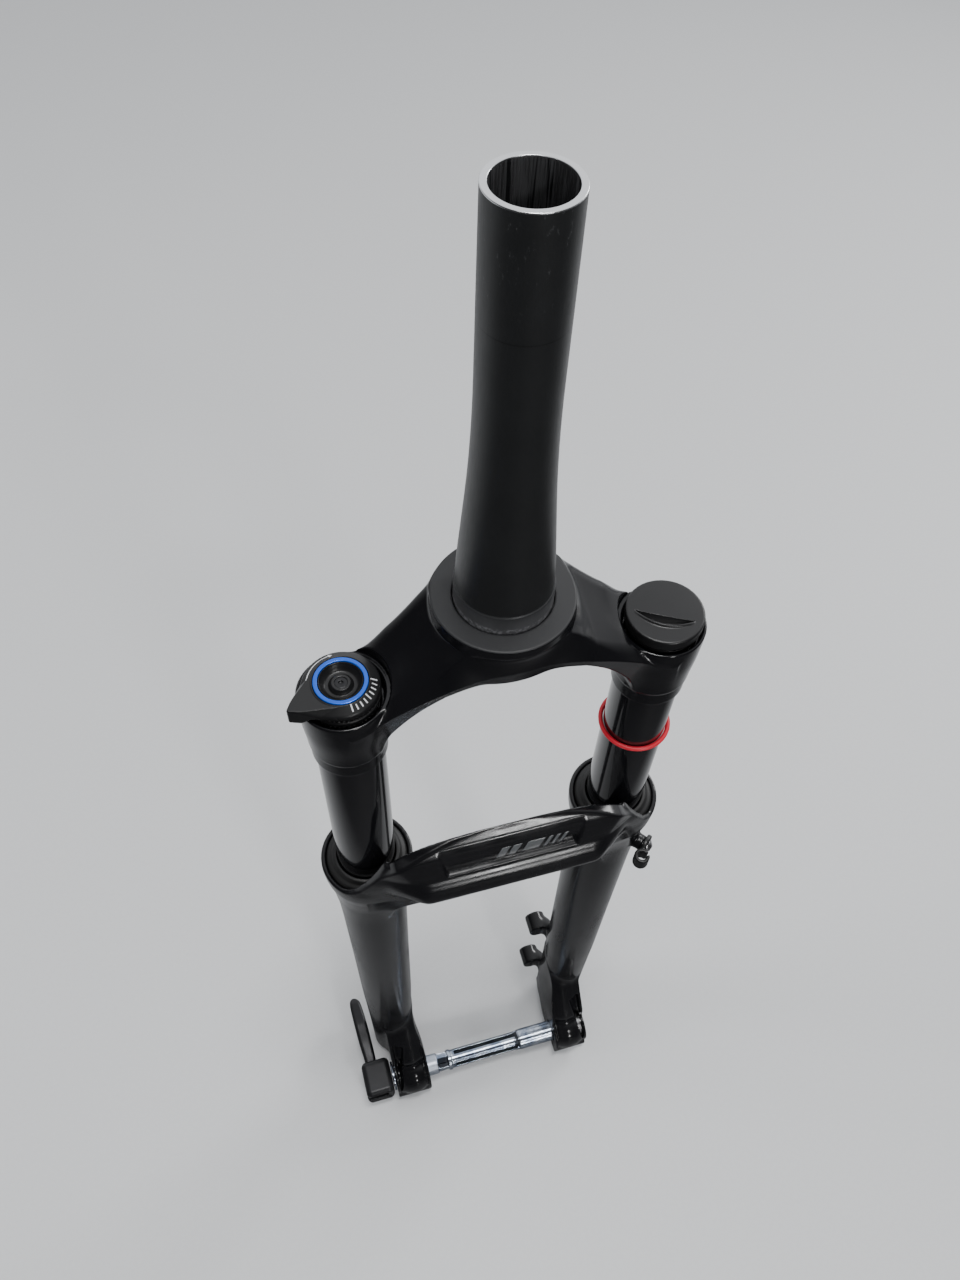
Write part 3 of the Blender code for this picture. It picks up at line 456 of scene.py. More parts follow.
def steerer_finish():
    """Satin black tube: a bare cut rim, streaks down the bore, a scribed line and scuffs near the top."""
    n = Nodes("satin_black_steerer")
    where = n.place()
    axes = n.add("SeparateXYZ", {"Vector": where}).outputs
    radius = n.distance(axes[0], axes[1])
    bore = n.math("LESS_THAN", radius, 12.4)
    rim = n.math("GREATER_THAN", axes[2], STEERER_TOP - 0.45)
    grain = n.noise(n.place(stretch=(1, 1, 0.12)), 1.4, 4)
    cloud = n.noise(where, 0.045, 3)
    scuff = n.ramp(n.noise(n.place(stretch=(1, 1, 0.4)), 0.5, 6, 0.75), [(0.60, 0.0), (0.72, 1.0)])
    high = n.ramp(n.math("DIVIDE", axes[2], STEERER_TOP), [(0.78, 0.0), (0.92, 1.0)])
    scuff = n.times(scuff, n.times(high, 0.35))
    height = n.math("DIVIDE", axes[2], 10.0)
    pressed = n.ramp(height, [(0.0, 0.5), (0.8, 0.2), (1.0, 0.0)])
    pressed = n.times(pressed, n.between(cloud, 0.2, 1.2))
    frayed = n.times(n.ramp(height, [(0.0, 1.0), (0.2, 0.9), (0.36, 0.0)]),
                    n.ramp(n.noise(where, 0.8, 5, 0.7), [(0.40, 0.15), (0.62, 0.9)]))
    worn = n.math("MAXIMUM", scuff, n.math("MAXIMUM", pressed, frayed))
    line = n.math("LESS_THAN", n.math("ABSOLUTE", n.math("SUBTRACT", axes[2], 131.0)), 0.25)
    outside = n.colours(n.between(cloud, 0, 1), (0.011, 0.0115, 0.012), (0.019, 0.02, 0.021))
    outside = n.colours(worn, outside, (0.22, 0.22, 0.23))
    outside = n.colours(n.times(line, 0.6), outside, (0.006, 0.006, 0.006))
    angle = n.math("ARCTAN2", axes[1], axes[0])
    run = n.times(axes[2], 0.012)
    around = n.add("CombineXYZ", {"X": n.times(angle, 5.0), "Z": run})
    streak = n.ramp(n.noise(around.outputs[0], 1.3, 3, 0.7), [(0.42, 0.0), (0.62, 1.0)])
    inside = n.colours(streak, (0.008, 0.008, 0.009), (0.32, 0.32, 0.33))
    colour = n.colours(rim, n.colours(bore, outside, inside), (0.78, 0.79, 0.8))
    metal = n.math("MAXIMUM", rim, n.math("ADD", n.times(streak, bore), 0.25), clamp=True)
    rough = n.either(rim, n.between(grain, 0.36, 0.5), 0.28)
    return n.set(Base_Color=colour, Metallic=metal, Roughness=rough, Normal=n.bump(grain, 0.012))


def coated(name, colour, roughness, metallic, coat, grain, depth, stretch=EVEN, spread=0.3):
    """A plain finish with its own grain: cloudy colour, uneven roughness and a fine relief."""
    n = Nodes(name)
    where = n.place(stretch=stretch)
    fine = n.noise(where, grain, 4)
    cloud = n.noise(n.place(), 0.12, 3)
    return n.set(
        Base_Color=n.colours(cloud, tint(colour, 1 - spread), tint(colour, 1 + spread)), Metallic=metallic,
        Roughness=n.between(fine, roughness * 0.85, roughness * 1.15), Normal=n.bump(fine, depth),
        Coat_Weight=coat, Coat_Roughness=0.08)


def machined(name, colour, roughness, stretch):
    """Bare metal with tool marks, which run where the stretch is small."""
    n = Nodes(name)
    marks = n.noise(n.place(stretch=stretch), 1.6, 4, 0.65)
    stain = n.ramp(n.noise(n.place(), 0.09, 4), [(0.4, 0.0), (0.7, 1.0)])
    return n.set(
        Base_Color=n.colours(n.times(stain, 0.45), colour, tint(colour, 0.55)), Metallic=1.0,
        Roughness=n.between(marks, roughness * 0.7, roughness * 1.4), Normal=n.bump(marks, 0.01))


def axle_metal():
    """The axle's bluish bare aluminium: dull in its flutes and on its end collar, stained in places, with
    painted shade darkening the flutes.
    """
    n = Nodes("axle_aluminium")
    where = n.place((DATUM.x, DATUM.y + AXLE_Y * MM, DATUM.z + AXLE_Z * MM))
    axes = n.add("SeparateXYZ", {"Vector": where}).outputs
    radius = n.distance(axes[1], axes[2])
    painted_flute_shade = n.ramp(n.math("DIVIDE", radius, 10.0), [(0.60, 1.0), (0.64, 0.0)])
    collar = n.times(n.math("LESS_THAN", axes[0], -42.3), n.math("LESS_THAN", radius, 8.0))
    marks = n.noise(n.place(stretch=(3.0, 0.15, 0.15)), 1.6, 4, 0.65)
    stain = n.ramp(n.noise(n.place(), 0.11, 4), [(0.42, 0.0), (0.6, 1.0)])
    colour = n.colours(n.times(stain, 0.8), (0.52, 0.57, 0.65), (0.13, 0.17, 0.25))
    colour = n.colours(collar, colour, (0.55, 0.6, 0.68))
    # painted shade: the sunk flutes are coloured near black to stand in for the shade inside them
    colour = n.colours(n.times(painted_flute_shade, 0.92), colour, (0.012, 0.013, 0.016))
    dull = n.times(n.math("MAXIMUM", collar, painted_flute_shade), 0.2)
    rough = n.math("ADD", n.between(marks, 0.14, 0.3), dull)
    return n.set(Base_Color=colour, Metallic=1.0, Roughness=rough, Normal=n.bump(marks, 0.006))


COATED = {
    # colour, roughness, metallic, coat, grain, depth, stretch, spread
    "black_stanchion": ((0.005, 0.005, 0.006), 0.1, 0, 0.8, 0.8, 0.004, (1, 1, 0.1)),
    "black_anodised": ((0.022, 0.022, 0.024), 0.36, 0.5, 0, 2.4, 0.02),
    "black_plastic": ((0.007, 0.007, 0.0075), 0.36, 0, 0, 2.6, 0.03),
    "blue_anodised": ((0.02, 0.13, 0.72), 0.3, 0.5, 0.3, 2.0, 0.01),
    "red_rubber": ((0.62, 0.012, 0.03), 0.38, 0, 0, 1.5, 0.02, EVEN, 0.15),
    "black_rubber": ((0.012, 0.012, 0.012), 0.5, 0, 0, 1.8, 0.03),
    "foam": ((0.1, 0.1, 0.09), 0.95, 0, 0, 1.2, 0.4),
    "nylon": ((0.7, 0.69, 0.64), 0.5, 0, 0, 1.0, 0.02, EVEN, 0.1),
    "urethane": ((0.7, 0.55, 0.2), 0.45, 0, 0, 0.9, 0.02, EVEN, 0.1),
    "red_anodised": ((0.5, 0.02, 0.02), 0.3, 0.6, 0.2, 2.0, 0.01),
    "white_mark": ((0.75, 0.76, 0.78), 0.45, 0, 0, 1.5, 0.005, EVEN, 0.1),
    "grey_mark": ((0.12, 0.125, 0.13), 0.22, 0, 0.5, 1.5, 0.005, EVEN, 0.2),
}
MACHINED = {
    # colour, roughness, stretch
    "bushing_bronze": ((0.4, 0.3, 0.2), 0.35, (1, 1, 0.2)),
    "raw_aluminium": ((0.72, 0.75, 0.8), 0.3, (1, 1, 0.15)),
    "steel": ((0.6, 0.6, 0.61), 0.22, EVEN),
    "brass": ((0.75, 0.55, 0.25), 0.3, EVEN),
}


def make_finishes():
    finishes = {name: coated(name, *look) for name, look in COATED.items()}
    finishes.update({name: machined(name, *look) for name, look in MACHINED.items()})
    finishes["gloss_black_paint"] = paint()
    finishes["crown_paint"] = crown_paint()
    finishes["satin_black_steerer"] = steerer_finish()
    finishes["axle_aluminium"] = axle_metal()
    return finishes


FINISHES = make_finishes()


def dress_frame():
    """The CAD nodes that stay take their slot's finish."""
    slots = {p["node"]: p["material_slot"] for p in frame["record"]["subparts"]}
    for name, node in frame["nodes"].items():
        node.data.materials.clear()
        node.data.materials.append(FINISHES[slots[name]])


# ---- steerer and crown


def build_steerer():
    outer = [(14.3, STEERER_TOP, 0.35), (14.3, 80, 30), (18.9, 20, 14), (19.35, SEAT_TOP + 0.5, 0.3),
             (SEAT_R, SEAT_TOP, 0.3), (SEAT_R, STEERER_FOOT, 0.5), (16.4, STEERER_FOOT, 0.5)]
    inner = [(16.4, 8, 6), (12.15, 72, 6), (12.15, STEERER_TOP, 0.35)]
    obj = lathe("steerer", filleted(outer + inner, 0.4, 6), steps=144)
    stand_in(obj, "chassis", "satin_black_steerer", "steerer_tube")


RIDGE_Y = [(0, -25), (20, -26), (40, -26.5), (55, -27.2), (70, -28.6)]
RIDGE_Z = [(0, -21), (17, -21.6), (37, -26.2), (53, -32.5), (62, -37), (70, -38)]
CREASE_Z = [(0, -4), (16, -5), (25, -9), (35, -18.5), (45, -24.5), (56, -28.4), (70, -29)]
TOP_RISE = [(0, 0), (16, 3), (25, 8), (35, 11.5), (45, 10.5), (55, 6), (66, 3)]
ARM_BACK = [(0, 24), (15, 21.5), (26, 15.5), (38, 11.5), (50, 9), (70, 7)]
ARM_LOW = [(0, -27), (18, -26.5), (28, -28.5), (37, -34), (45, -42), (52, -52), (58, -64), (64, -74)]
BOSS_TOP = -29.0
BOSS_FOOT = -71.0
BOSS_SKIRT = [(-72, 16.9), (-60, 17.2), (-42, 18.4), (-30, 18.7)]
LEDGE_R = 19.6
POCKET_R = 17.2


def crown_field(X, Y, Z):
    """The crown: two arms with a crease along the top front, a hub, the race ring and two bosses."""
    ax = np.abs(X)
    crease_y = -21.0
    crease_z = through(CREASE_Z, ax)
    ridge_y, ridge_z = through(RIDGE_Y, ax), through(RIDGE_Z, ax)
    hollow = 0.8 * np.exp(-((ax - 47) / 13) ** 2 - ((Y + 3) / 11) ** 2)
    back_share = np.clip((Y - crease_y) / 30, -0.4, 1.1)
    top = crease_z + through(TOP_RISE, ax) * back_share - hollow
    above = Z - top
    face = ridge_y + (Z - ridge_z) * (crease_y - ridge_y) / np.maximum(crease_z - ridge_z, 2.0)
    under = ridge_y + 0.8 + (ridge_z - Z) * 0.22
    front = np.maximum(face, under) - Y
    back = Y - through(ARM_BACK, ax)
    low = through(ARM_LOW, ax) - Z
    arm = smooth_max(above * 0.85, front * 0.9, 1.0)
    arm = smooth_max(arm, back, 7.0)
    arm = smooth_max(arm, low * 0.7, 2.0)
    arm = np.maximum(arm, ax - LEG_X)

    radius = np.hypot(X, Y)
    hub = smooth_max(radius - through([(-30, 23), (-20, 24.5), (-11, 26.5), (-7, 27.2)], Z), Z + 2.5, 1.0)
    body = smooth_min(arm, hub, 6.0)
    ring = post(radius, RING_R, Z, -5.2, 0, 0.9)
    body = smooth_min(body, ring, 1.6)

    leg = np.hypot(ax - LEG_X, Y - LEG_Y)
    boss = post(leg, through(BOSS_SKIRT, Z), Z, BOSS_FOOT + 9, BOSS_TOP, 1.2)
    collar = post(leg, 16.5, Z, BOSS_FOOT, BOSS_TOP + 0.5, 1.0)
    body = smooth_min(body, smooth_min(boss, collar, 0.8), 3.0)

    ledge = smooth_max(leg - LEDGE_R, BOSS_TOP - Z, 0.6)
    body = cut(body, ledge, 0.7)
    pocket = smooth_max(leg - POCKET_R, BOSS_TOP - 3.5 - Z, 0.8)
    body = cut(body, pocket, 0.9)
    socket = smooth_max(leg - POCKET_R + 0.3, STANCHION_TOP + 1.5 - Z, 0.6)
    bore = leg - (STANCHION_R + 0.3)
    body = cut(body, smooth_min(socket, bore, 0.3), 0.7)
    body = cut(body, radius - SEAT_R - 0.35, 0.7)
    hub_foot = STEERER_FOOT - 1 - Z
    return smooth_max(body, np.where(ax < RING_R + 1, hub_foot, hub_foot - 60), 0.8)


def build_crown():
    lines = (spaced((-92, 92, 0.66)), spaced((-36, 33, 0.66)), spaced((-73, -38, 0.8), (-38, 2, 0.6)))
    obj = sculpt("crown_forging", crown_field, lines, 0.66)
    stand_in(obj, "chassis", "crown_paint", "crown")


def build_stanchions():
    bore = STANCHION_R - 1.8
    corners = [(STANCHION_R, STANCHION_TOP), (STANCHION_R, STANCHION_FOOT), (bore, STANCHION_FOOT),
               (bore, STANCHION_TOP)]
    for leg, x in LEGS.items():
        obj = lathe(f"{leg}_tube", filleted(corners, 0.5), (x, LEG_Y, 0), steps=128)
        stand_in(obj, "chassis", "black_stanchion", f"{leg}_stanchion")


# ---- lower casting


LEG_R = [(-538, 15.0), (-500, 15.4), (-440, 16.4), (-418, 16.9), (-345, 17.6), (-300, 18.1), (-245, 18.9),
         (-224, 19.9), (-208, 21.8), (-197, 23.5), (-188, 24.0)]
ARCH_BACK = -33.0
ARCH_TOP = [(0, -140), (25, -141), (40, -143.3), (50, -146.5), (57, -150.5), (62, -157), (67, -165),
            (73, -175), (79, -183.5), (84, -188.5)]
CUP_RIM = [(50, -188), (58, -166), (62, -157), (67, -165), (73, -175), (79, -183.5), (85, -188)]
ARCH_LOW = [(0, -182.5), (28, -184.5), (38, -191), (48, -207), (58, -226), (68, -243), (78, -252)]
ARCH_FRONT = [(0, -41), (44, -40.8), (56, -40.5), (66, -39), (73, -37), (79, -33.5), (84, -29)]
ARCH_BELLY = [(-252, 10.0), (-232, 7.0), (-210, 2.5), (-192, -2.0), (-186, -4.8), (-181, -7.4), (-177, -8.3),
              (-173, -8.0), (-170, -6.9), (-167, -4.8), (-164, -2.8), (-158, -2.0), (-149, -0.2), (-144, 3.0),
              (-140, 6.8)]
PANEL_LOW = -164.0
DROPOUT_OUT = 75.5
DROPOUT_R = 15.0
DROPOUT_SWELL = [(49, 0.6), (51.2, 0.6), (52.6, -1.7), (55, -0.6), (61, 0.9), (67, 0.2), (72, -1.6),
                 (76, -1.8)]
POST_X = 49.0
POST_R = 7.0
POST_FACE = 16.0
POST_Z = (-430.0, -504.0)
CLIP_Z = -224.0
CLIP_HEADING = radians(-50)
CLIP_FACE = 25.0


def panel_depth(ax, Z):
    """The shallow panel on the arch's front: slanted ends, a crisp lower edge, fading out upwards."""
    half_width = 38.5 + (Z + 144) * 0.2
    ends = step(0, 2.0, half_width - ax)
    foot = step(0, 1.1, Z - PANEL_LOW)
    return 2.5 * ends * foot * np.clip((-144 - Z) / 17, 0, 1)


def end_facet(ax, Z):
    """How far the front turns back outboard of the crease that runs down and in from each peak."""
    beyond = (ax - 56) * 0.936 - (np.maximum(Z, -192) + 151) * 0.3525
    return 0.3 * (beyond + np.sqrt(beyond ** 2 + 1)) / 2


def arch_field(X, Y, Z):
    """The bridge in front of the legs, with its panel, its end facets and the gussets down to each leg."""
    ax = np.abs(X)
    belly = through(ARCH_BELLY, Z)
    belly = np.where(belly < 0, belly * (1 - 0.75 * step(42, 66, ax)), belly)
    face = through(ARCH_FRONT, ax) + belly + panel_depth(ax, Z) + end_facet(ax, Z)
    gusset = 15 * step(46, 58, ax) * step(0, 16, -194 - Z)
    back = through([(0, ARCH_BACK), (56, ARCH_BACK), (66, -30), (80, -26)], ax) + gusset
    arch = smooth_max((face - Y) * 0.85, Y - back, 1.0)
    arch = smooth_max(arch, (Z - through(ARCH_TOP, ax)) * 0.8, 1.3)
    arch = smooth_max(arch, (through(ARCH_LOW, ax) - Z) * 0.75, 3.0)
    return np.maximum(arch, ax - 86)


def dropout_field(X, Y, Z):
    """Both dropouts: a nose round the axle, a block back to the leg, a chin and a pocket outside."""
    ax = np.abs(X)
    slope = (Y + 20) * -0.784 + (Z + 468) * 0.62
    axle = np.hypot(Y - AXLE_Y, Z - AXLE_Z)
    nose = axle - DROPOUT_R
    block = smooth_max(slope, np.maximum(AXLE_Y - Y, Y - (LEG_Y + 10)), 2.0)
    side = smooth_min(nose, block, 3.0)
    chin = np.maximum(AXLE_Y - 13.6 - Y, np.maximum(Z - AXLE_Z + 4, Y - AXLE_Y))
    side = smooth_max(smooth_min(side, chin, 2.0), LEG_FOOT + 0.7 - Z, 0.8)
    side = side - through(DROPOUT_SWELL, ax) * step(-535, -529, Z)
    inner_face = HUB_HALF + 4.0 * step(18, 52, axle)
    plate = smooth_max(side, np.maximum(inner_face - ax, ax - DROPOUT_OUT), 1.0)
    pocket = smooth_max(ax - 73.2, np.maximum(65.5 + (-489 - Z) * 0.21 - ax, Z + 489), 1.2)
    pocket = smooth_max(pocket, -side - 4.5, 1.2)
    return cut(plate, pocket, 1.6)


def post_field(X, Y, Z):
    """The two brake posts, each on a web from the leg."""
    posts = []
    for z in POST_Z:
        tube = post(np.hypot(X - POST_X, Z - z), POST_R, Y, 2.5, POST_FACE, 1.2)
        web = capsule(X, Y, Z, (54, 7, z), (64, -6, z - 12), 5.0)
        web = smooth_min(web, capsule(X, Y, Z, (54, 7, z + 1), (63, -5, z + 10), 3.6), 3.0)
        web = smooth_max(web, HUB_HALF + 0.6 - X, 1.0)
        posts.append(smooth_min(tube, web, 2.5))
    return np.minimum(*posts)


def bore_field(leg, Z):
    """What is hollow inside each leg: seal seat, foam seat, liner, oil space and foot."""
    steps = [(21.3, -200), (18.6, -206), (16.3, -297), (15.5, -412)]
    hollow = None
    for radius, floor in steps:
        part = smooth_max(leg - radius, floor - Z, 0.6)
        hollow = part if hollow is None else np.minimum(hollow, part)
    chamber = post(leg, straight([(-424, 10.5), (-412, 15.5)], Z), Z, -506, -411, 0.6)
    hollow = np.minimum(hollow, chamber)
    through_hole = np.maximum(leg - 3.6, Z + 500)
    recess = smooth_max(leg - 9.2, Z + 517, 0.6)
    return np.minimum(hollow, np.minimum(through_hole, recess))


def clip_frame(X, Y):
    """Distances outwards and sideways from the brake-side leg's axis, along the clip's heading."""
    return turned(X - LEG_X, Y - LEG_Y, CLIP_HEADING)


def casting_field(X, Y, Z):
    """The whole lower casting: tubes, arch, dropouts, posts and clip stub, less the bores and threads."""
    ax = np.abs(X)
    leg = np.hypot(ax - LEG_X, Y - LEG_Y)
    rim = CUP_TOP + (through(CUP_RIM, ax) - CUP_TOP) * step(22, 29, -Y)
    tube = smooth_max(leg - through(LEG_R, Z), np.maximum((Z - rim) * 0.75, LEG_FOOT - Z), 1.3)
    body = smooth_min(tube, arch_field(X, Y, Z), 4.5)
    body = smooth_min(body, dropout_field(X, Y, Z), 3.5)
    body = smooth_min(body, post_field(X, Y, Z), 3.0)
    out, aside = clip_frame(X, Y)
    stub = post(np.hypot(aside, Z - CLIP_Z), 4.5, out, 12, CLIP_FACE, 0.6)
    body = smooth_min(body, stub, 2.5)

    body = cut(body, bore_field(leg, Z), 1.1)
    axle = np.hypot(Y - AXLE_Y, Z - AXLE_Z)
    body = cut(body, np.maximum(axle - AXLE_R - 0.3, X - 60), 0.7)
    body = cut(body, np.maximum(axle - 9.8, HUB_HALF + 2 - X), 0.7)
    thread = np.maximum(np.hypot(aside, Z - CLIP_Z) - 2, CLIP_FACE - 7 - out)
    for z in POST_Z:
        thread = np.minimum(thread, np.maximum(np.hypot(X - POST_X, Z - z) - 2.6, 3.4 - Y))
    return cut(body, thread, 0.5)


def build_casting():
    lines = (spaced((-94, 94, 1.0)), spaced((-64, 19, 1.0)),
             spaced((-541, -464, 1.0), (-464, -412, 1.15), (-412, -262, 4.0), (-262, -139, 0.95)))
    obj = sculpt("lower_legs_casting", casting_field, lines, 1.0)
    stand_in(obj, "lower_legs", "gloss_black_paint", "lower_leg_casting")


def build_arch_marks():
    """Plain slanted bars on the arch's panel, drawn onto its surface. They stand for graphics."""
    shape = bmesh.new()
    bars = [(-8.5, 4.5), (-2.5, 4.5), (5.0, 9.0), (16.0, 2.2), (20.0, 2.2), (24.0, 2.2)]
    low, high, rows, slant, in_front, proud = -161.5, -151.5, 10, 0.3, -42.0, 0.06
    for start, width in bars:
        columns = max(2, int(width * 1.5))
        at = []
        for j in range(rows + 1):
            z = low + (high - low) * j / rows
            for i in range(columns + 1):
                at.append((start + width * i / columns + (z - low) * slant, in_front, z))
        at = np.array(at)
        for _ in range(6):
            at[:, 1] -= casting_field(*at.T) / gradient(casting_field, at, 0.05)[:, 1]
        at[:, 1] -= proud
        verts = [shape.verts.new((Vector(q) * MM) + DATUM) for q in at]
        for j in range(rows):
            for i in range(columns):
                a = j * (columns + 1) + i
                shape.faces.new((verts[a], verts[a + 1], verts[a + columns + 2], verts[a + columns + 1]))
    marks = printed("arch_marks", shape, 0.05, "lower_legs", "grey_mark")
    marks.data.shade_smooth()


def build_seals():
    inner = STANCHION_R + 0.25
    corners = [(15.7, -184.3), (17.2, -184.6), (18.4, -186.4), (20.2, -187.2), (21.1, -188.6),
               (21.1, -199.7), (16.6, -199.7), (16.6, -191.5), (inner, -190), (inner, -184.9)]
    for leg, x in LEGS.items():
        obj = lathe(f"{leg}_wiper", filleted(corners, 0.5), (x, LEG_Y, 0), steps=112)
        stand_in(obj, "lower_legs", "black_rubber", f"{leg}_wiper_seal")


# ---- top caps and travel ring


KNOB_TOP = -21.5
KNOB_R = 15.7
POINTER = radians(200)
POINTER_R = 24.8
KNOB_BOWL = [(0, -22.7), (3.7, -22.7), (4.5, -23.9), (5.2, -24.7), (6.2, -24.6), (8.2, -22.6), (8.9, -21.2)]
TRIM_IN, TRIM_OUT = 9.2, 11.0


def knob_frame(X, Y):
    """Distances along and across the dial's pointer."""
    return turned(X + LEG_X, Y - LEG_Y, POINTER)


def knob_top(along, across):
    """Height of the dial's face: flat inside, a cone outside, and a flat facet along the pointer."""
    radius = np.hypot(along, across)
    cone = -0.62 * np.maximum(radius - 11.6, 0)
    beside = np.abs(across) - 1.0 - (POINTER_R - along) * 0.5
    facet = -0.25 - 1.3 * np.maximum(beside, 0) - 8 * np.maximum(4 - along, 0)
    return KNOB_TOP + np.maximum(cone, facet)


def knob_field(X, Y, Z):
    along, across = knob_frame(X, Y)
    radius = np.hypot(along, across)
    tangent = KNOB_R / POINTER_R
    flank = np.abs(across) * np.sqrt(1 - tangent ** 2) + along * tangent - KNOB_R
    beak = smooth_max(flank, np.maximum(along - POINTER_R + 0.6, KNOB_R * tangent - along), 0.3)
    outline = smooth_min(radius - KNOB_R, beak, 0.8)
    foot = -26.6 - 3.4 * step(16.8, 21, along) - Z
    flange = smooth_max(outline, (Z - knob_top(along, across)) * 0.8, 0.7)
    flange = smooth_max(flange, foot, 0.8)
    ribs = 0.2 * np.cos(np.arctan2(across, along) * 48)  # 48 fine grip ribs
    skirt = post(radius, 14.9 + ribs, Z, -33.4, -25, 0.5)
    belt = smooth_max(radius - 15.7, np.abs(Z + 29.6) - 1.1, 0.7)
    body = smooth_min(flange, smooth_min(skirt, belt, 0.3), 0.3)
    bowl = smooth_max(radius - 8.9, (through(KNOB_BOWL, radius) - Z) * 0.8, 0.3)
    body = cut(body, bowl, 0.3)
    groove = np.maximum(np.abs(radius - 10.1) - 1.15, KNOB_TOP - 1.3 - Z)
    body = cut(body, groove, 0.25)
    seat = np.maximum(radius - 2.6, -24.3 - Z)
    return cut(body, np.minimum(seat, radius - 1.5), 0.25)


def build_knob():
    lines = (spaced((-LEG_X - 25.5, -LEG_X + 18, 0.36)), spaced((LEG_Y - 18, LEG_Y + 18, 0.36)),
             spaced((-34.5, KNOB_TOP + 1, 0.3)))
    obj = sculpt("compression_dial", knob_field, lines, 0.36)
    stand_in(obj, "compression_adjuster", "black_plastic", "compression_knob")
    where = (-LEG_X, LEG_Y, 0)
    top, foot = KNOB_TOP + 0.25, KNOB_TOP - 1.2
    ring = filleted([(TRIM_IN, top), (TRIM_OUT, top), (TRIM_OUT, foot), (TRIM_IN, foot)], 0.35)
    trim = lathe("dial_ring", ring, where, steps=96)
    stand_in(trim, "compression_adjuster", "blue_anodised", "knob_trim_ring")
    build_dial_marks()


def build_dial_marks():
    """A generic scale of ticks and a turning arrow, printed on the dial's face."""
    shape = bmesh.new()

    def polar(radius, angle):
        return Vector((radius * cos(angle) - LEG_X, radius * sin(angle) + LEG_Y))

    def on_face(point):
        top = knob_top(*knob_frame(*point)) + 0.05
        return shape.verts.new(Vector((*point, top)) * MM + DATUM)

    def strip(points, width):
        pairs = []
        for i, point in enumerate(points):
            ahead = points[min(i + 1, len(points) - 1)] - points[max(i - 1, 0)]
            aside = Vector((-ahead.y, ahead.x)).normalized() * width / 2
            pairs.append([on_face(point + k * aside) for k in (1, -1)])
        for a, b in zip(pairs, pairs[1:]):
            shape.faces.new((a[0], a[1], b[1], b[0]))

    for n in range(9):
        inner = 12.3 if n % 4 else 11.7
        strip([polar(r, radians(-82 + 9 * n)) for r in (inner, 14.3)], 0.55)
    arc, middle = [radians(a) for a in range(164, 99, -4)], 13.6
    strip([polar(middle, a) for a in arc], 0.45)
    tip = arc[-1]
    head = (polar(middle * 0.92, tip), polar(middle, tip - 0.12), polar(middle * 1.08, tip))
    shape.faces.new([on_face(point) for point in head])
    printed("dial_marks", shape, 0.06, "compression_adjuster", "white_mark")


CAP_R = 16.8
CAP_TURN = radians(-28)


def cap_field(X, Y, Z):
    """The air cap: a domed disc with a thumb scoop across it, over a grooved and hollow skirt."""
    radius = np.hypot(X - LEG_X, Y - LEG_Y)
    along, across = turned(X - LEG_X, Y - LEG_Y, CAP_TURN)
    across = across + 2.6  # the scoop lies off the cap's centre
    crown = -22.0 - 0.5 * (radius / CAP_R) ** 2
    half = np.maximum(1 - (along / 12.6) ** 2, 0)
    upper, lower = -0.6 * half, -4.6 * half
    share = np.clip((across - lower) / np.maximum(upper - lower, 0.3), 0, 1)
    scoop = 2.3 * np.sqrt(half) * np.clip(share / 0.3, 0, 1) * np.clip((1 - share) / 0.55, 0, 1) ** 0.7
    lip = 0.8 * np.sqrt(half) * np.exp(-((across - lower + 0.7) / 0.7) ** 2)
    body = post(radius, CAP_R, Z, -28, crown + lip - scoop, 1.2)
    skirt = post(radius, 15.6, Z, -33, -25, 0.6)
    groove = smooth_max(14.9 - radius, np.abs(Z + 29.2) - 0.9, 0.3)
    body = smooth_min(body, cut(skirt, groove, 0.3), 0.3)
    hollow = post(radius, 8.5, Z, -34, -28.5, 0.6)
    return cut(body, hollow, 0.5)


def build_air_cap():
    obj = sculpt("air_cap_cover", cap_field, round_leg(LEG_X, 17.5, 0.36, (-34, -21, 0.3)), 0.36)
    stand_in(obj, "air_cap", "black_plastic", "air_cap")


def build_travel_ring():
    half, gap, corners = 1.15, 0.15, 20
    profile = [(STANCHION_R + gap + half * (1 + cos(a)), RING.z + half * sin(a))
               for a in (-tau * n / corners for n in range(corners))]
    cord = lathe("travel_cord", profile, (LEG_X, LEG_Y, 0), steps=128)
    stand_in(cord, "travel_ring", "red_rubber", "travel_ring")


# ---- axle


AXLE_PROFILE = [(-42.6, 7.5), (-42, 7.1), (-34, 7.1), (-33.4, 7.5), (-31.4, 7.5), (-30.8, 6.7), (19.6, 6.7),
                (20.2, 7.0), (23.2, 7.0), (23.8, 7.5), (71.5, 7.5), (73, 6.2)]
# first angle, half width, middle and half length, of the flutes and of the windows
AXLE_SLOTS = ((62, 1.7, -3.5, 24.5), (20, 3.4, -37.8, 3.8))


def axle_field(X, Y, Z):
    """The axle: stepped and bored, with four flutes, four windows, a notch and an end collar."""
    dy, dz = Y - AXLE_Y, Z - AXLE_Z
    radius = np.hypot(dy, dz)
    body = radius - straight(AXLE_PROFILE, X)
    collar = post(radius, 10.4, X, -77.4, -75.9, 0.5)
    body = np.minimum(smooth_max(body, np.maximum(X - 73, -77 - X), 0.5), collar)
    for n in range(4):
        for start, half_width, middle, half_length in AXLE_SLOTS:
            side, reach = turned(dy, dz, tau * n / 4 + radians(start))
            slot = np.maximum(np.abs(side) - half_width, np.abs(X - middle) - half_length)
            body = cut(body, np.maximum(slot, 4.9 - reach), 0.4)
    notch = np.maximum(np.abs(X - 21.7) - 1.0, np.maximum(5.8 - radius, -(np.abs(dz + 1.0) - 3.5)))
    body = cut(body, notch, 0.3)
    bore = np.maximum(radius - 4.6, -56 - X)
    return cut(body, bore, 0.4)


def build_axle():
    lines = (spaced((-79, 74.5, 0.5)), spaced((AXLE_Y - 11.5, AXLE_Y + 11.5, 0.42)),
             spaced((AXLE_Z - 11.5, AXLE_Z + 11.5, 0.42)))
    obj = sculpt("axle_shaft", axle_field, lines, 0.45)
    stand_in(obj, "thru_axle", "axle_aluminium", "thru_axle")


PIN_X = -90.0
PIN_BORE = 2.8


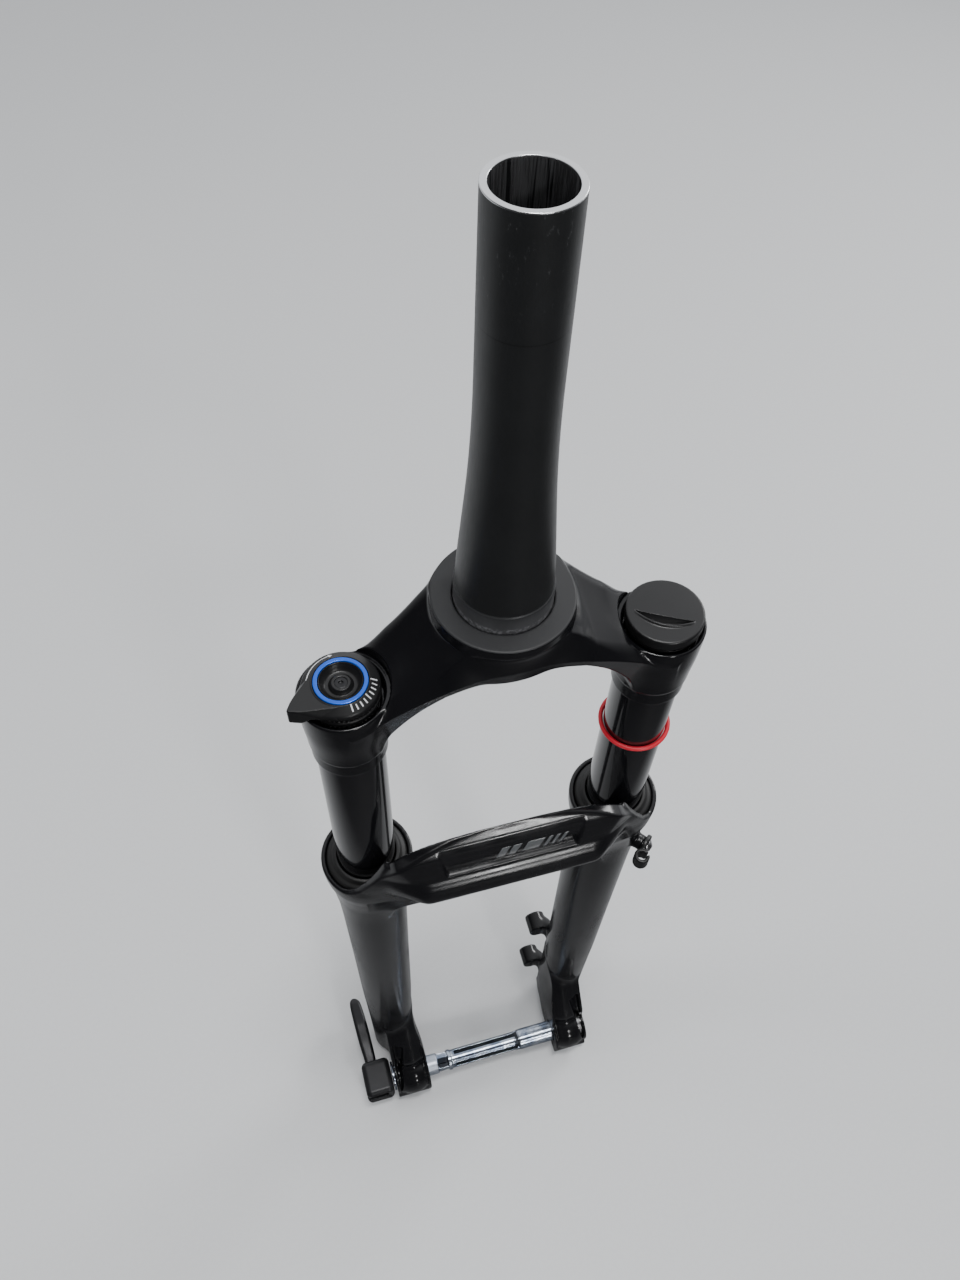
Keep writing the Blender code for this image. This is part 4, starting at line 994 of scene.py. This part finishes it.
def head_field(X, Y, Z):
    """The axle's head: a rounded block with a shallow panel, slotted for the lever."""
    body = rounded_box(X, Y, Z, HEAD, HEAD_HALF, 4.0)
    panel = rounded_box(X, Y, Z, (HEAD.x - 0.5, HEAD.y - HEAD_HALF.y, HEAD.z + 1.5), (8.0, 0.9, 7.5), 0.6)
    body = cut(body, panel, 0.5)
    slot = np.maximum(np.abs(Z - AXLE_Z) - 5.3, X - (PIN_X + 7))
    body = cut(body, slot, 1.0)
    pin = np.maximum(np.hypot(X - PIN_X, Y - AXLE_Y) - PIN_BORE, Z - (AXLE_Z + 9))
    return cut(body, pin, 0.4)


def lever_field(X, Y, Z):
    """The lever: an eye on the pin and an arm that widens to a dished paddle."""
    dx, dy, dz = X - PIN_X, Y - AXLE_Y, Z - AXLE_Z
    eye = smooth_max(np.hypot(dx, dy) - 6.5, np.abs(dz) - 5.0, 1.0)
    inner = through([(0, 3.0), (14, 3.0), (36, 2.4), (58, 0.5), (64, -1.5)], dy)
    outer = through([(0, -4.5), (16, -5.6), (34, -7.2), (56, -8.0), (64, -7.2)], dy)
    half = through([(0, 4.6), (12, 4.8), (26, 6.6), (44, 10.2), (58, 9.6), (64, 7.4)], dy)
    arm = smooth_max(dx - inner, outer - dx, 2.4)
    arm = smooth_max(arm, np.abs(dz) - half, 2.6)
    arm = smooth_max(arm, np.maximum(dy - 64, -dy), 4.0)
    dish = np.sqrt(((dx + 13.5) / 7.6) ** 2 + ((dy - 46) / 17) ** 2 + (dz / 8.6) ** 2) - 1
    arm = smooth_max(arm, -dish * 6, 1.2)
    body = smooth_min(eye, arm, 2.0)
    return cut(body, np.hypot(dx, dy) - PIN_BORE, 0.4)


def build_head_and_lever():
    reach = HEAD_HALF + Vector((1.5, 1.5, 1.5))
    lines = [spaced((HEAD[n] - reach[n], HEAD[n] + reach[n], 0.5)) for n in range(3)]
    stand_in(sculpt("axle_head_block", head_field, lines, 0.5), "thru_axle", "black_anodised", "axle_head")
    lines = (spaced((PIN_X - 10, PIN_X + 8, 0.45)), spaced((AXLE_Y - 8, AXLE_Y + 66, 0.6)),
             spaced((AXLE_Z - 12, AXLE_Z + 12, 0.55)))
    stand_in(sculpt("quick_lever", lever_field, lines, 0.5), "axle_lever", "black_anodised", "axle_lever")
    pin, half = box_mm("lever_pivot_pin")
    corners = [(0, half.z), (half.x, half.z), (half.x, -half.z), (0, -half.z)]
    obj = lathe("lever_pin", filleted(corners, 0.5), pin, steps=48)
    stand_in(obj, "thru_axle", "steel", "lever_pivot_pin")


# ---- fittings


def hex_distance(a, b, across_flats):
    """Field of a hexagon in a plane."""
    far = np.abs(a)
    for turn in (60, 120):
        far = np.maximum(far, np.abs(turned(a, b, radians(turn))[0]))
    return far - across_flats / 2


def guide_field(X, Y, Z):
    """The hose clip: a plate under the bolt, an arm and a split hook for the hose."""
    out, aside = clip_frame(X, Y)
    dz = Z - CLIP_Z
    plate = smooth_max(np.hypot(aside, dz) - 6.3, np.abs(out - 26.5) - 1.2, 0.8)
    hook_out, hook_aside = out - 28.7, aside + 8.6
    tube = np.abs(np.hypot(hook_out, hook_aside) - 3.4) - 1.0
    tube = smooth_max(tube, np.abs(dz) - 4.6, 0.8)
    into_gap = hook_out * 0.64 + hook_aside * 0.77
    gap = np.maximum(np.abs(hook_aside * 0.64 - hook_out * 0.77) - 0.8, -into_gap)
    tube = cut(tube, gap, 0.5)
    arm = smooth_max(np.abs(aside + 4.6) - 2.4, np.maximum(np.abs(out - 26.5) - 1.2, np.abs(dz) - 3.6), 0.8)
    body = smooth_min(smooth_min(plate, tube, 0.8), arm, 0.8)
    return cut(body, np.hypot(aside, dz) - 2.6, 0.3)


def guide_bolt_field(X, Y, Z):
    """The clip's bolt: a domed head with a hexagon socket, on a shank."""
    out, aside = clip_frame(X, Y)
    dz = Z - CLIP_Z
    radius = np.hypot(aside, dz)
    dome = 30.7 - 0.16 * radius ** 2
    head = post(radius, 4.2, out, 28, dome, 0.6)
    shank = np.maximum(radius - 1.7, np.maximum(out - 29, CLIP_FACE - 6 - out))
    body = smooth_min(head, shank, 0.2)
    socket = np.maximum(hex_distance(aside, dz, 2.5), 28.9 - out)
    return cut(body, socket, 0.15)


def build_hose_guide():
    middle = Vector((LEG_X, LEG_Y, CLIP_Z)) + Vector((cos(CLIP_HEADING), sin(CLIP_HEADING), 0)) * 27
    for name, node, field, slot, reach, gap in (
        ("hose_clip", "hose_guide", guide_field, "black_plastic", 14, 0.4),
        ("hose_clip_bolt", "hose_guide_bolt", guide_bolt_field, "steel", 9.5, 0.3),
    ):
        lines = [spaced((middle[n] - reach, middle[n] + reach, gap)) for n in range(2)]
        lines.append(spaced((CLIP_Z - 7, CLIP_Z + 7, gap)))
        stand_in(sculpt(name, field, lines, gap), "lower_legs", slot, node)


def foot_bolt_field(X, Y, Z):
    """A foot screw, hollow so that the adjuster's rod can pass, with a hexagon socket below."""
    ax = np.abs(X)
    radius = np.hypot(ax - LEG_X, Y - LEG_Y)
    head = post(radius, 6, Z, -524.8, -518.8, 0.7)
    shank = np.maximum(radius - 2.5, np.maximum(Z + 490, -519 - Z))
    body = smooth_min(head, shank, 0.2)
    socket = np.maximum(hex_distance(ax - LEG_X, Y - LEG_Y, 5.0), Z + 521.5)
    bore = radius - 1.9
    return cut(body, np.minimum(socket, bore), 0.2)


def rebound_knob_field(X, Y, Z):
    """The ribbed rebound dial under the damper leg."""
    dx, dy = X + LEG_X, Y - LEG_Y
    radius = np.hypot(dx, dy)
    ribs = 0.28 * np.cos(np.arctan2(dy, dx) * 24)  # 24 coarse grip ribs
    grip = post(radius, 7.8 + ribs, Z, -547, -539.4, 1.0)
    stem = post(radius, 4.6, Z, -541, -531, 0.4)
    body = smooth_min(grip, stem, 0.6)
    rod_hole = np.maximum(radius - 1.7, -534 - Z)
    key = np.maximum(hex_distance(dx, dy, 2.5), Z + 544)
    return cut(body, np.minimum(rod_hole, key), 0.2)


def build_foot_screws():
    for leg, x in LEGS.items():
        lines = round_leg(x, 7, 0.4, (-526, -517.5, 0.35), (-517.5, -489, 1.2))
        obj = sculpt(f"{leg}_foot_screw", foot_bolt_field, lines, 0.4)
        stand_in(obj, "lower_legs", "steel", f"{leg}_foot_bolt")


def build_rebound_dial():
    lines = round_leg(-LEG_X, 9, 0.36, (-548, -530, 0.36))
    obj = sculpt("rebound_dial", rebound_knob_field, lines, 0.36)
    stand_in(obj, "rebound_adjuster", "red_anodised", "rebound_knob")


def build_axle_nut():
    nut, half = box_mm("axle_nut")
    corners = [(half.y, half.x), (half.y, -half.x), (AXLE_R + 0.3, -half.x), (AXLE_R + 0.3, half.x)]
    obj = lathe("axle_thread_nut", filleted(corners, 0.8), nut, "X", 72)
    stand_in(obj, "lower_legs", "steel", "axle_nut")


def build_dial_screw():
    where, half = box_mm("knob_screw")
    head = half.z - 1.3
    corners = [(0, half.z - 1.0), (1.0, half.z - 1.0), (1.0, half.z), (half.x, half.z), (half.x, head),
               (1.2, head), (1.2, -half.z), (0, -half.z)]
    obj = lathe("dial_screw", filleted(corners, 0.2, 2), where, steps=40)
    stand_in(obj, "compression_adjuster", "black_anodised", "knob_screw")


# ---- stage


CAMERA_PLACE = (-85.2, -234.0, 321.3)
CAMERA_TURN = (35.041, -1.574, -15.865)
CAMERA_LENS = 29.18


LAMPS = (
    # name, place, aim, width, watts
    ("key", (0.1, -0.15, 2.4), (0.0, 0.0, 0.3), 0.5, 22),
    ("side", (-1.9, 0.5, 1.4), (0, 0, 0.4), 0.8, 12),
    ("rim", (1.7, 0.9, 1.3), (0, 0, 0.4), 0.7, 14),
    ("glint", (0.5, -1.9, 1.75), (0, 0, 0.35), 0.3, 9),
    ("window", (0.43, -2.46, 0.78), (0, 0, 0.38), 0.28, 8),
)
PALE = (0.62, 0.63, 0.65, 1)
FLAG_DARK = (0.05, 0.05, 0.052, 1)
FLAG_BRIGHT = (1.4, 1.42, 1.46, 1)
BRIGHT_SIDE = (0.38, 0.85, 0.32)


def build_floor():
    """A plain pale floor. Reflections see it darker ahead of the fork, as they see the world."""
    shape = bmesh.new()
    bmesh.ops.create_grid(shape, x_segments=2, y_segments=2, size=6.0)
    floor = from_bmesh("floor", shape)
    floor.location.z = -0.0005
    n = Nodes("pale_floor")
    speck = n.noise(n.place(), 0.3, 4)
    pale = n.colours(speck, (0.70, 0.71, 0.72), (0.75, 0.76, 0.77))
    depth = n.add("SeparateXYZ", {"Vector": n.place()}).outputs[1]
    ahead = n.ramp(n.math("ADD", n.times(depth, 0.001), 0.5), [(0.3, 1.0), (0.95, 0.0)])
    mirrored = n.times(n.add("LightPath").outputs["Is Glossy Ray"], ahead)
    colour = n.colours(mirrored, pale, (0.03, 0.03, 0.032))
    floor.data.materials.append(n.set(Base_Color=colour, Roughness=0.55, Normal=n.bump(speck, 0.03)))


def build_lamps():
    for name, place, aim, width, watts in LAMPS:
        light = bpy.data.lights.new(name, "AREA")
        light.shape = "RECTANGLE"
        light.size, light.size_y = width, width * 0.6
        light.energy = watts
        lamp = new_object(name, light)
        lamp.location = place
        lamp.visible_glossy = name != "side"
        lamp.rotation_euler = (Vector(aim) - Vector(place)).to_track_quat("-Z", "Y").to_euler()


def build_world():
    """Even soft light for the room. In reflections it is dark in front and bright behind."""
    world = bpy.data.worlds.new("studio")
    bpy.context.scene.world = world
    world.use_nodes = True
    tree = world.node_tree
    where = tree.nodes.new("ShaderNodeTexCoord")
    ramp = tree.nodes.new("ShaderNodeValToRGB")
    towards = tree.nodes.new("ShaderNodeVectorMath")
    towards.operation = "DOT_PRODUCT"
    towards.inputs[1].default_value = BRIGHT_SIDE
    tree.links.new(where.outputs["Generated"], towards.inputs[0])
    tree.links.new(towards.outputs["Value"], ramp.inputs["Fac"])
    dark, bright = ramp.color_ramp.elements
    dark.position, dark.color = 0.0, FLAG_DARK
    bright.position, bright.color = 0.9, FLAG_BRIGHT
    share = tree.nodes.new("ShaderNodeMix")
    share.data_type = "RGBA"
    path = tree.nodes.new("ShaderNodeLightPath")
    tree.links.new(path.outputs["Is Glossy Ray"], share.inputs["Factor"])
    share.inputs[6].default_value = PALE
    tree.links.new(ramp.outputs["Color"], share.inputs[7])
    back = tree.nodes["Background"]
    tree.links.new(share.outputs[2], back.inputs["Color"])
    back.inputs["Strength"].default_value = 0.8


def build_camera():
    data = bpy.data.cameras.new("camera")
    data.lens = CAMERA_LENS
    data.clip_start, data.clip_end = 0.02, 50
    camera = new_object("camera", data)
    camera.location = DATUM + Vector(CAMERA_PLACE) * MM
    camera.rotation_euler = Euler([radians(a) for a in CAMERA_TURN], "XYZ")
    bpy.context.scene.camera = camera


for build in (
    dress_frame, build_steerer, build_crown, build_stanchions, build_casting, build_arch_marks,
    build_seals, build_knob, build_air_cap, build_travel_ring, build_axle, build_head_and_lever,
    build_hose_guide, build_foot_screws, build_rebound_dial, build_axle_nut, build_dial_screw,
    build_floor, build_world, build_lamps, build_camera,
):
    build()
